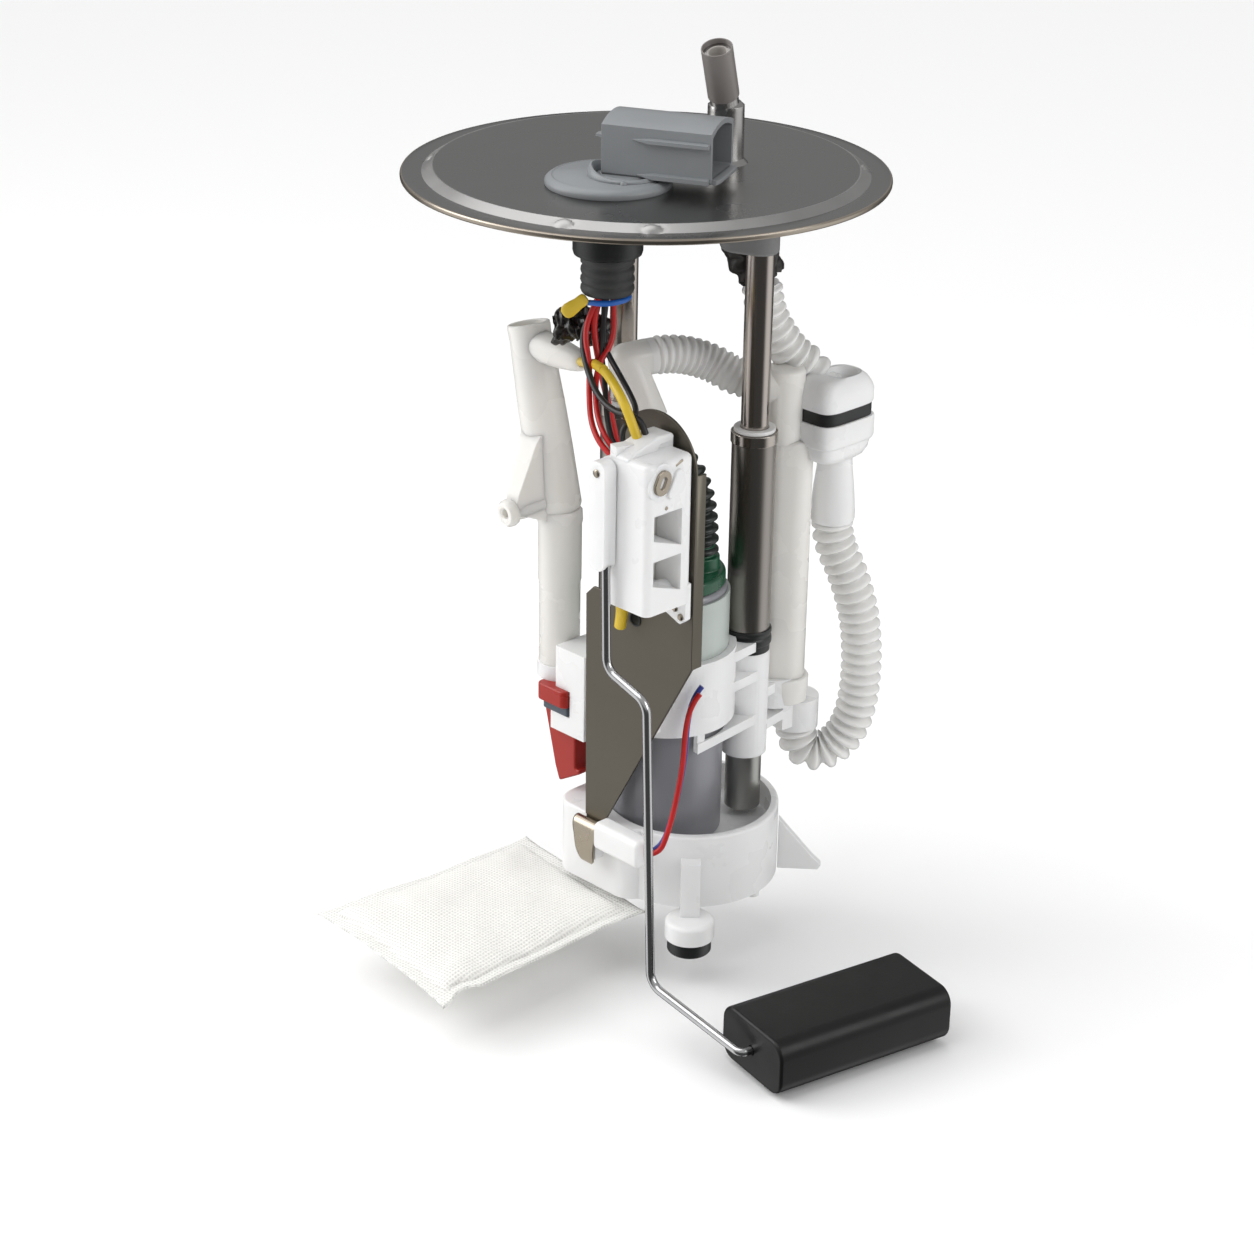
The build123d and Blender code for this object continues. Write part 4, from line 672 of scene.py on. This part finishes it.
new_piece("valve_body", body, acetal, "white_plastic", "valve_bottom", sharp=50.0)

# ------------ foot
# Black rubber bumper pushed on under the white foot cap; it stands on the bottom of the tank
# and keeps the cup from knocking.
dressed("foot_bumper", boot_black, "black_rubber", 0.0006, 3)

# ------------ fill check valve
# Red moulded retainer and duct with a grey rubber flap clamped between them, under the
# standpipe; the flap lets fuel into the cup and not out.
check_red = milky("check_red", (0.36, 0.018, 0.011), 0.3, scatter=0.05)
dressed("check_cap", check_red, "red_plastic", 0.0006, 3)
DUCT_LINE = ((-14.2, -156.9), (-0.8, -156.9), (-0.8, -174.4), (1.0, -174.2), (1.0, -175.6), (-7.6, -180.6),
    (-9.4, -176.0))
duct = drawn_out(bmesh.new(), [[Vector((x, y, z)) / 1000 for x, z in DUCT_LINE] for y in (-24.6, -18.0)])
wedge = new_piece("check_duct", duct, check_red, "red_plastic", "check_wedge", sharp=40.0)
rounded(wedge, 0.0008, 3)
dressed("check_seal", moulded("flap_grey", (0.085, 0.105, 0.13), 0.5, 0.2), "grey_rubber", 0.0006, 3)

# ------------ sender bracket and clip
# Bent steel sheet with a dull plated face; a bright spring clip hooks its foot to the cup.
clip_metal = steel("clip_metal", (0.42, 0.37, 0.3), 0.28)
dressed("sender_bracket", steel("bracket_metal", (0.16, 0.146, 0.12), 0.44, (0.15, 1, 1), 0.12, 500.0),
    "bracket_steel", 0.0004, 3)
# The bracket's eye is a dark disc in black rubber's colour: painted shade for the dark inside the eye hole.
eye = turned(bmesh.new(), [(2.1, 0.0), (2.1, 0.25), (1.7, 0.3), (1.6, 0.06)],
    pointing((29.9, -31.0, -114.1), (0, -1, 0)), 32)
new_piece("bracket_eye_painted_shade", eye, boot_black, "bracket_steel")
CLIP_LINE = ((-30.8, -188.0, 10.6, 18.4), (-30.7, -185.0, 9.6, 19.6), (-31.1, -183.2, 8.9, 20.2),
    (-32.6, -182.4, 8.8, 20.4), (-34.1, -183.1, 8.9, 20.4), (-34.7, -184.9, 9.4, 19.8), (-34.8, -187.4, 10.2, 18.2),
    (-34.8, -191.8, 10.6, 18.0), (-34.7, -194.2, 12.4, 17.8), (-34.2, -195.0, 12.8, 17.4))


def netted(shell, lines):
    """Joins rows of points into quads."""
    for upper, lower in zip(lines, lines[1:]):
        for corners in zip(upper, upper[1:], lower[1:], lower):
            shell.faces.new(corners)


band = bmesh.new()
rows = [[band.verts.new(Vector((left + (right - left) * share / 6, y, z)) / 1000) for share in range(7)]
    for y, z, left, right in CLIP_LINE]
netted(band, rows)
clip = new_piece("clip_strip", outward(band), clip_metal, "clip_steel", "spring_clip", sharp=180.0)
curve = clip.modifiers.new("sheet_curve", "SUBSURF")
curve.levels = curve.render_levels = 2
wall = clip.modifiers.new("sheet_wall", "SOLIDIFY")
wall.thickness = 0.0008
wall.offset = 0.0

# ------------ sender
# White moulded body, riveted to the bracket, with two windows on its resistor card. Its guards
# and top hook are moulded with it; the eyelet, pins and rivets are plated steel.
dressed("sender_housing", acetal, "white_plastic", 0.0016, 4)
dressed("resistor_card", moulded("ceramic", (0.7, 0.69, 0.65), 0.6, 0.1), "ceramic", 0.0001)
dressed("sender_rivets", clip_metal, "clip_steel", 0.0004, 3)


def capsule(centre, half_length, radius, lean, low, high, count=32):
    """A long rounded outline on the sender's open side, as two rings of points at two depths."""
    rings = []
    for x in (low, high):
        ring = []
        for step in range(count):
            angle = 2 * pi * step / count
            along = radius * cos(angle) + (half_length - radius) * (1 if cos(angle) > 0 else -1)
            aside = radius * sin(angle)
            y = centre[0] + along * sin(lean) + aside * cos(lean)
            z = centre[1] + along * cos(lean) - aside * sin(lean)
            ring.append(Vector((x / 1000, y / 1000, z / 1000)))
        rings.append(ring)
    return rings


plate_ring = bmesh.new()
outer = capsule((-44.2, -63.9), 3.5, 2.7, 0.42, 51.6, 52.8)
inner = capsule((-44.2, -63.9), 1.7, 0.8, 0.42, 51.6, 52.8)
drawn_out(plate_ring, [outer[0], outer[1], inner[1], inner[0], outer[0]], cap=False)
bmesh.ops.remove_doubles(plate_ring, verts=plate_ring.verts, dist=0.000001)
drawn_out(plate_ring, capsule((-37.6, -60.0), 1.5, 0.4, 1.2, 51.6, 52.0))
eyelet = new_piece("eyelet_ring", plate_ring, clip_metal, "clip_steel", "contact_eyelet")
rounded(eyelet, 0.0003, 3)
guard = bmesh.new()
drawn_out(guard, capsule((-39.3, -65.4), 4.2, 1.5, 0.5, 51.4, 52.8))
BAR_LINE = ((36.9, -96.0), (51.9, -96.0), (51.9, -106.6), (49.6, -108.4), (37.0, -103.6))
drawn_out(guard, [[Vector((x, y, z)) / 1000 for x, z in BAR_LINE] for y in (-34.0, -31.8)])
turned(guard, [(3.3, 0.0), (3.3, 9.0), (2.9, 9.8), (2.0, 10.1)], pointing((46.2, -33.7, -98.5), (0, -1, 0)), 40)
drawn_out(guard, capsule((-44.2, -63.9), 5.3, 4.2, 0.42, 51.2, 52.0))
guards = new_piece("sender_guards", guard, acetal, "white_plastic", sharp=40.0)
rounded(guards, 0.0006, 3)
HOOK_LINE = ((-48.9, -61.4), (-48.9, -58.6), (-46.0, -57.0), (-38.0, -54.7), (-32.4, -54.9), (-31.8, -56.2),
    (-33.0, -57.3), (-37.4, -57.3), (-38.6, -60.4))
hook = drawn_out(bmesh.new(), [[Vector((x, y, z)) / 1000 for y, z in HOOK_LINE] for x in (36.8, 44.4)])
rounded(new_piece("sender_hook", hook, acetal, "white_plastic", sharp=40.0), 0.0009, 4)
pins = bmesh.new()
for x, y, z, radius in ((51.9, -42.2, -71.6, 0.55), (43.6, -43.0, -77.0, 0.7), (43.6, -42.6, -91.6, 0.7)):
    turned(pins, [(radius, -1.2), (radius, 0.12)], pointing((x, y, z), (1, 0, 0)), 16)
for x, z in ((48.0, -104.0), (50.2, -106.0)):
    turned(pins, [(1.0, 0), (1.0, 0.5), (0.6, 0.9)], pointing((x, -33.8, z), (0, -1, 0)), 20)
new_piece("sender_pins", pins, clip_metal, "clip_steel")

# ------------ float arm and float
# Bright drawn wire bent cold, in a white holder that turns on a steel rivet. The float is
# closed-cell foam, moulded smooth, and turns on the wire's bent end.
float_foam = moulded("float_foam", (0.007, 0.0068, 0.0066), 0.36, 0.35, 70.0, 1400.0)
feed(float_foam.node_tree.nodes["Principled BSDF"], {"Specular IOR Level": 0.3})
dressed("float_arm", steel("arm_metal", (0.62, 0.62, 0.63), 0.2, (1, 1, 0.2), 0.15), "arm_steel", 0.0001,
    body="float_arm_assembly")
dressed("arm_holder", acetal, "white_plastic", 0.0016, 4, body="float_arm_assembly")
rivet = turned(bmesh.new(), [(1.15, -0.6), (1.15, 0.2), (0.8, 0.45), (0, 0.5)],
    pointing((37.2, -53.7, -63.0), (0, -1, 0)), 28)
new_piece("pivot_rivet", rivet, clip_metal, "clip_steel", body="float_arm_assembly")
dressed("sender_float", float_foam, "float_black", 0.0022, 4, body="float_body")

# ------------ filter sock
# Padded strainer of fine woven nylon mesh, welded flat round its border. Its neck is clipped on
# the pump's inlet, and the pad is blown up a little as a cloth.
SOCK_CORNERS = [(-0.0337, -0.0960), (-0.0265, -0.0200), (0.0306, -0.0253), (0.0305, -0.1035)]
SOCK_Z, WEAVE_TURN, WAVE_STEP = -0.2086, -4, 0.314


def woven(name, colour, pitch):
    """Fine plain weave on object coordinates: darker holes between raised threads."""
    made = shade(name, colour, 0.75)
    tree = made.node_tree
    place = add_node(tree, "ShaderNodeTexCoord").outputs["Object"]
    turn = add_node(tree, "ShaderNodeMapping", {"Vector": place, "Rotation": (0.0, 0.0, radians(WEAVE_TURN))})
    weave = {"Vector": turn.outputs["Vector"], "Scale": WAVE_STEP / pitch, "Distortion": 0.25}
    bands = [add_node(tree, "ShaderNodeTexWave", weave, wave_type="BANDS", bands_direction=axis).outputs["Fac"]
        for axis in ("X", "Y")]
    threads = worked(tree, "MAXIMUM", *bands)
    cloud = add_node(tree, "ShaderNodeTexNoise", {"Vector": place, "Scale": 55.0}).outputs["Fac"]
    ramp = add_node(tree, "ShaderNodeValToRGB", {"Fac": threads})
    for stop, spot, tone in zip(ramp.color_ramp.elements, (0.15, 0.8), (0.8, 1.0)):
        stop.position = spot
        stop.color = tuple(value * tone for value in colour) + (1.0,)
    mixed = {"Factor": 0.1, "A": ramp.outputs["Color"], "B": cloud}
    soil = add_node(tree, "ShaderNodeMix", mixed, data_type="RGBA", blend_type="MULTIPLY").outputs["Result"]
    bump = add_node(tree, "ShaderNodeBump", {"Distance": 0.00025, "Strength": 0.8, "Height": threads})
    feed(tree.nodes["Principled BSDF"], {"Base Color": soil, "Normal": bump.outputs["Normal"]})
    return made


def sock_point(u, v, z):
    """A place on the sock's flat cut, from its four corners."""
    a, b, c, d = (Vector((x, y, 0.0)) for x, y in SOCK_CORNERS)
    u = 0.5 + (u - 0.5) * (1 - 0.05 * max(0.0, sin(pi * v)) ** 0.4)
    v = 0.5 + (v - 0.5) * (1 - 0.04 * max(0.0, sin(pi * u)) ** 0.4)
    nick = max(0.0, 1 - ((v - 0.12) / 0.07) ** 2) * max(0.0, u - 0.8) * 0.2
    spot = (a * (1 - u + nick) + d * (u - nick)) * (1 - v) + (b * (1 - u + nick) + c * (u - nick)) * v
    return Vector((spot.x, spot.y, SOCK_Z + z))


def grid_sheet(shell, columns, rows, low, high, height):
    """Rows of quads over part of the sock's cut; height gives each point's lift."""
    lines = []
    for row in range(rows + 1):
        v = low + (high - low) * row / rows
        line = []
        for column in range(columns + 1):
            u = low + (high - low) * column / columns
            line.append(shell.verts.new(sock_point(u, v, height(u, v))))
        lines.append(line)
    netted(shell, lines)


PAD_LOW, PAD_HIGH, PAD_LIFT, SEAM_HALF, WRINKLE_FROM = 0.035, 0.965, 0.0028, 0.0009, 0.0008
MOST_SWELL, PAD_UNDER, PAD_OVER, VOXEL, CLOTH_MOMENTS = 0.0042, 0.0050, 0.0052, 0.0018, 20


def pillow(u, v):
    """Lift of the empty pad: nothing at its seam, most at its middle."""
    inside = max(0.0, min(u - PAD_LOW, PAD_HIGH - u, v - PAD_LOW, PAD_HIGH - v) / 0.465)
    return PAD_LIFT * min(1.0, inside * 3.6) ** 0.5


mesh_cloth = woven("mesh_cloth", (0.95, 0.94, 0.905), 0.0011)
pad = bmesh.new()
grid_sheet(pad, 48, 60, PAD_LOW, PAD_HIGH, pillow)
grid_sheet(pad, 48, 60, PAD_LOW, PAD_HIGH, lambda u, v: -pillow(u, v) * 0.8)
bmesh.ops.remove_doubles(pad, verts=pad.verts, dist=0.00001)
sock = new_piece("sock_pad", outward(pad), mesh_cloth, "mesh_fabric", sharp=180.0)
remesh = sock.modifiers.new("even_weave", "REMESH")
remesh.mode = "VOXEL"
remesh.voxel_size = VOXEL
swollen = shaped(sock)
sock.modifiers.clear()
start = [vertex.co.copy() for vertex in swollen.vertices]
sock.data = swollen
seam = sock.vertex_groups.new(name="seam")
seam.add([index for index, spot in enumerate(start) if abs(spot.z - SOCK_Z) < SEAM_HALF], 1.0, "REPLACE")
cloth = sock.modifiers.new("cloth", "CLOTH")
for key, value in (("quality", 6), ("mass", 0.05), ("use_pressure", True), ("uniform_pressure_force", 4.0),
        ("vertex_group_mass", "seam"), ("tension_stiffness", 8.0), ("bending_stiffness", 0.4)):
    setattr(cloth.settings, key, value)
cloth.settings.effector_weights.gravity = 0.0
cloth.point_cache.frame_start = 1
cloth.point_cache.frame_end = CLOTH_MOMENTS
for moment in range(1, CLOTH_MOMENTS + 1):
    scene.frame_set(moment)
blown = shaped(sock)
sock.modifiers.clear()
sock.vertex_groups.clear()
scene.frame_set(1)
for vertex, spot in zip(blown.vertices, start):
    move = vertex.co - spot
    if move.length > MOST_SWELL:
        vertex.co = spot + move.normalized() * MOST_SWELL
    vertex.co.z = max(SOCK_Z - PAD_UNDER, min(SOCK_Z + PAD_OVER, vertex.co.z))
sock.data = blown
sock.data.materials.clear()
sock.data.materials.append(mesh_cloth)
for vertex in sock.data.vertices:
    ripple = noise.noise(vertex.co * 95.0) * 0.0007 + noise.noise(vertex.co * 240.0) * 0.00025
    if vertex.co.z > SOCK_Z + WRINKLE_FROM:
        vertex.co.z += ripple
sock.data.shade_smooth()


def border_lift(u, v):
    """The welded border lies flat, with the slight waves that welding leaves."""
    place = sock_point(u, v, 0.0)
    return noise.noise(Vector((place.x, place.y, 0.0)) * 60.0) * 0.0008


film = bmesh.new()
grid_sheet(film, 60, 76, 0.0, 1.0, border_lift)
border = new_piece("sock_border", film, woven("film_cloth", (0.93, 0.925, 0.895), 0.0011), "mesh_fabric",
    "filter_sock", sharp=180.0)
thick = border.modifiers.new("film_thickness", "SOLIDIFY")
thick.thickness = 0.0006
thick.offset = 0.0


# ------------ wires
# Insulated leads, each one smooth line from its grommet to its terminal, with bright solid colours.
# A thin blue wire ties the bundle at the boot's mouth, and the thick yellow one earths the standpipe.
def swept(name, points, radius, facets, radii=(), spans=24):
    """The plain mesh of a round section swept along a route."""
    line = smooth_path(name + "_route", points)
    line.resolution_u = spans
    line.bevel_depth = radius
    line.bevel_resolution = facets
    line.use_fill_caps = True
    for spot, share in zip(line.splines[0].points, radii):
        spot.radius = share
    seed = placed(name + "_seed", line)
    data = shaped(seed)
    bpy.data.objects.remove(seed)
    return data


def lead(name, points, radius, material, node):
    """A round insulated wire along its route, in place of the plain node if it has one."""
    data = swept(name, points, radius, 5)
    data.materials.clear()
    data.materials.append(material)
    data.shade_smooth()
    piece = placed(name, data)
    if node:
        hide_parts(node)
    return piece


def insulation(name, colour):
    """Smooth coloured insulation with faint scuffs."""
    return moulded(name, colour, 0.38, 0.2, 120.0)


red_lead = insulation("red_lead", (0.52, 0.008, 0.008))
black_lead = insulation("black_lead", (0.018, 0.018, 0.02))
yellow_lead = insulation("yellow_lead", (0.72, 0.50, 0.03))
PUMP_LEAD = [(41.6, -16.6, -137.6), (40.4, -18.8, -140.6), (39.6, -20.2, -148.6), (41.4, -22.4, -157.0),
    (42.0, -25.4, -167.6), (42.2, -28.6, -176.6), (41.6, -31.6, -183.4)]
for name, shift, skin in (("red", 0.0, red_lead), ("blue", 1.6, insulation("blue_lead", (0.04, 0.06, 0.32)))):
    route = [(x - shift * 0.5, y + shift, z + shift) for x, y, z in PUMP_LEAD] + [(37.7, -32.9 + shift, -184.1)]
    wire = lead("pump_lead_" + name, route, 0.0008, skin, "pump_wire_" + name)
    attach(wire, "carrier_assembly")
MOUTH = (0.0082, -0.0223, -0.027)
BRACKET_END = (0.0360, -0.0388, -0.0600)
CROSSING_LEADS = (("power_lead", "power_wire", red_lead, 0.0009, (0.0074, -0.0235, -0.0262),
    (0.0130, -0.0150, -0.1077), [(7.4, -23.5, -26.2), (7.2, -25.4, -30.7), (7.7, -27.0, -36.5),
    (11.0, -27.5, -46.7), (13.0, -25.0, -60.0), (13.6, -20.0, -80.0), (13.2, -16.5, -95.0), (13.0, -15.0, -107.7)]),
    ("signal_lead", "signal_wire", black_lead, 0.0009, MOUTH, (0.0360, -0.0388, -0.0560),
    [(6.9, -21.8, -26.2), (5.6, -25.5, -32.7), (5.3, -28.6, -37.0), (8.3, -31.3, -42.2), (15.2, -34.3, -48.9),
    (21.5, -36.4, -51.5), (29.6, -38.3, -52.1), (35.3, -38.3, -50.9), (39.5, -38.3, -53.2), (41.9, -38.7, -59.5)]),
    ("sender_lead_red", None, red_lead, 0.0008, MOUTH, BRACKET_END, [(7.8, -24.4, -26.4), (6.4, -26.8, -31.7),
    (7.0, -29.6, -37.5), (11.0, -31.4, -44.2), (15.2, -35.6, -50.8), (22.4, -41.6, -57.0), (30.0, -43.0, -62.4),
    (38.4, -41.0, -66.0)]), ("sender_lead_long", None, red_lead, 0.0008, MOUTH, BRACKET_END,
    [(9.6, -21.4, -26.4), (10.3, -21.8, -32.5), (11.3, -22.6, -36.8), (12.0, -24.8, -41.0), (12.0, -29.0, -44.6),
    (15.8, -34.0, -49.8), (23.4, -40.0, -56.0), (30.8, -41.2, -61.9), (38.4, -39.0, -65.5)]),
    ("sender_lead_black", None, black_lead, 0.0008, MOUTH, BRACKET_END, [(8.6, -23.7, -26.4), (9.2, -24.7, -38.3),
    (11.2, -25.5, -41.9), (17.9, -27.4, -45.8), (27.9, -31.5, -49.9), (32.3, -34.2, -52.0), (33.6, -37.6, -53.0),
    (33.0, -40.6, -55.1), (34.3, -41.0, -60.5), (38.4, -39.6, -64.0)]), ("sender_lead_dark", None, black_lead,
    0.0008, MOUTH, BRACKET_END, [(9.0, -23.0, -26.4), (8.7, -25.3, -40.6), (13.8, -28.6, -48.2),
    (18.5, -32.4, -51.9), (23.1, -36.3, -56.3), (29.2, -39.5, -62.2), (38.4, -38.2, -66.5)]),)
for name, node, skin, radius, above, below, route in CROSSING_LEADS:
    wire = lead(name, route, radius, skin, node)
    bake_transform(wire)
tie = lead("mouth_tie", [(3.4, -31.2, -30.9), (4.4, -29.6, -29.6), (6.6, -29.6, -28.3), (13.4, -27.8, -27.8),
    (14.9, -21.4, -27.6), (12.0, -17.2, -27.4), (8.2, -20.0, -26.6)], 0.0008,
    insulation("tie_blue", (0.012, 0.12, 0.48)), None)
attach(tie, "flange_assembly")
EARTH_RUN = [(-7.0, -20.0, -50.2), (-3.6, -20.4, -50.0), (1.1, -24.4, -48.1), (11.1, -29.9, -44.6),
    (20.2, -34.9, -42.9), (27.7, -38.8, -43.7), (33.0, -40.6, -46.4), (36.7, -41.1, -50.6), (40.2, -40.4, -58.6)]
for name, run, fixed, hung, node in (
        ("earth_lead", EARTH_RUN[:5], (-0.0040, -0.0204, -0.0500), (0.0020, -0.0250, -0.0480), "earth_wire"),
        ("earth_lead_end", EARTH_RUN[3:], (0.0364, -0.0410, -0.0500), (0.0290, -0.0394, -0.0443), None)):
    wire = lead(name, run, 0.0013, yellow_lead, node)
    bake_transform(wire)
tail = lead("earth_tail", [(38.0, -40.4, -97.6), (32.9, -41.2, -99.4), (30.4, -38.2, -104.0), (29.2, -35.7, -108.7),
    (27.9, -34.4, -112.5), (26.6, -33.7, -116.4)], 0.0017, yellow_lead, None)
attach(tail, "carrier_assembly")
crimp = bmesh.new()
LUG_TURN = Matrix(((0.40, 0.75, 0.53), (0.45, -0.66, 0.60), (-0.80, 0.0, 0.60))).to_4x4()
lug = Matrix.Translation((0.0058, -0.0322, -0.0291)) @ LUG_TURN @ Matrix.Diagonal((0.0022, 0.0011, 0.0040, 1.0))
turned(crimp, [(0, -1.0), (0.5, -0.97), (0.85, -0.8), (0.97, -0.5), (0.9, -0.1), (0.78, 0.3), (0.8, 0.7),
    (0.72, 0.92), (0.4, 1.0)], lug, 40)
new_piece("earth_terminal", crimp, yellow_lead, "wire_yellow", "wire_terminal", body="flange_assembly", sharp=60.0)


# ------------ crumpled covers
# Soft black tube bunched up by hand: one length over the outlet hose, one round the loom's joint.
def crumpled(name, points, radii, fold, node, slot):
    """A tube along its route whose wall is folded and creased."""
    shell = bmesh.new()
    shell.from_mesh(swept(name, points, 1.0, 14, radii, 22))
    bmesh.ops.remove_doubles(shell, verts=shell.verts, dist=0.000005)
    outward(shell).normal_update()
    for vertex in shell.verts:
        bunch = abs(noise.noise(vertex.co * 170.0)) * 2.4 + abs(noise.noise(vertex.co * 430.0)) * 1.0
        vertex.co += vertex.normal * (bunch - 0.9) * fold
    return new_piece(name, shell, cover_black, slot, node, body="flange_assembly", sharp=60.0)


cover_black = moulded("cover_black", (0.016, 0.013, 0.011), 0.3, 0.5)
cover = crumpled("outlet_hose_cover", [(14.6, 19.4, -8.6), (16.4, 21.4, -14.5), (18.4, 23.6, -22.0),
    (20.2, 26.4, -29.5)], (0.0060, 0.0076, 0.0082, 0.0058), 0.0012, "outlet_wrap", "black_rubber")
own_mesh(cover)
crumpled("loom_cover", [(3.5, -17.7, -41.8), (1.8, -19.5, -40.7), (-1.0, -22.2, -37.3), (-4.1, -25.3, -38.5),
    (-7.0, -28.2, -39.2)], (0.0034, 0.0050, 0.0042, 0.0056, 0.0034), 0.0016, "wire_loom", "wire_black")
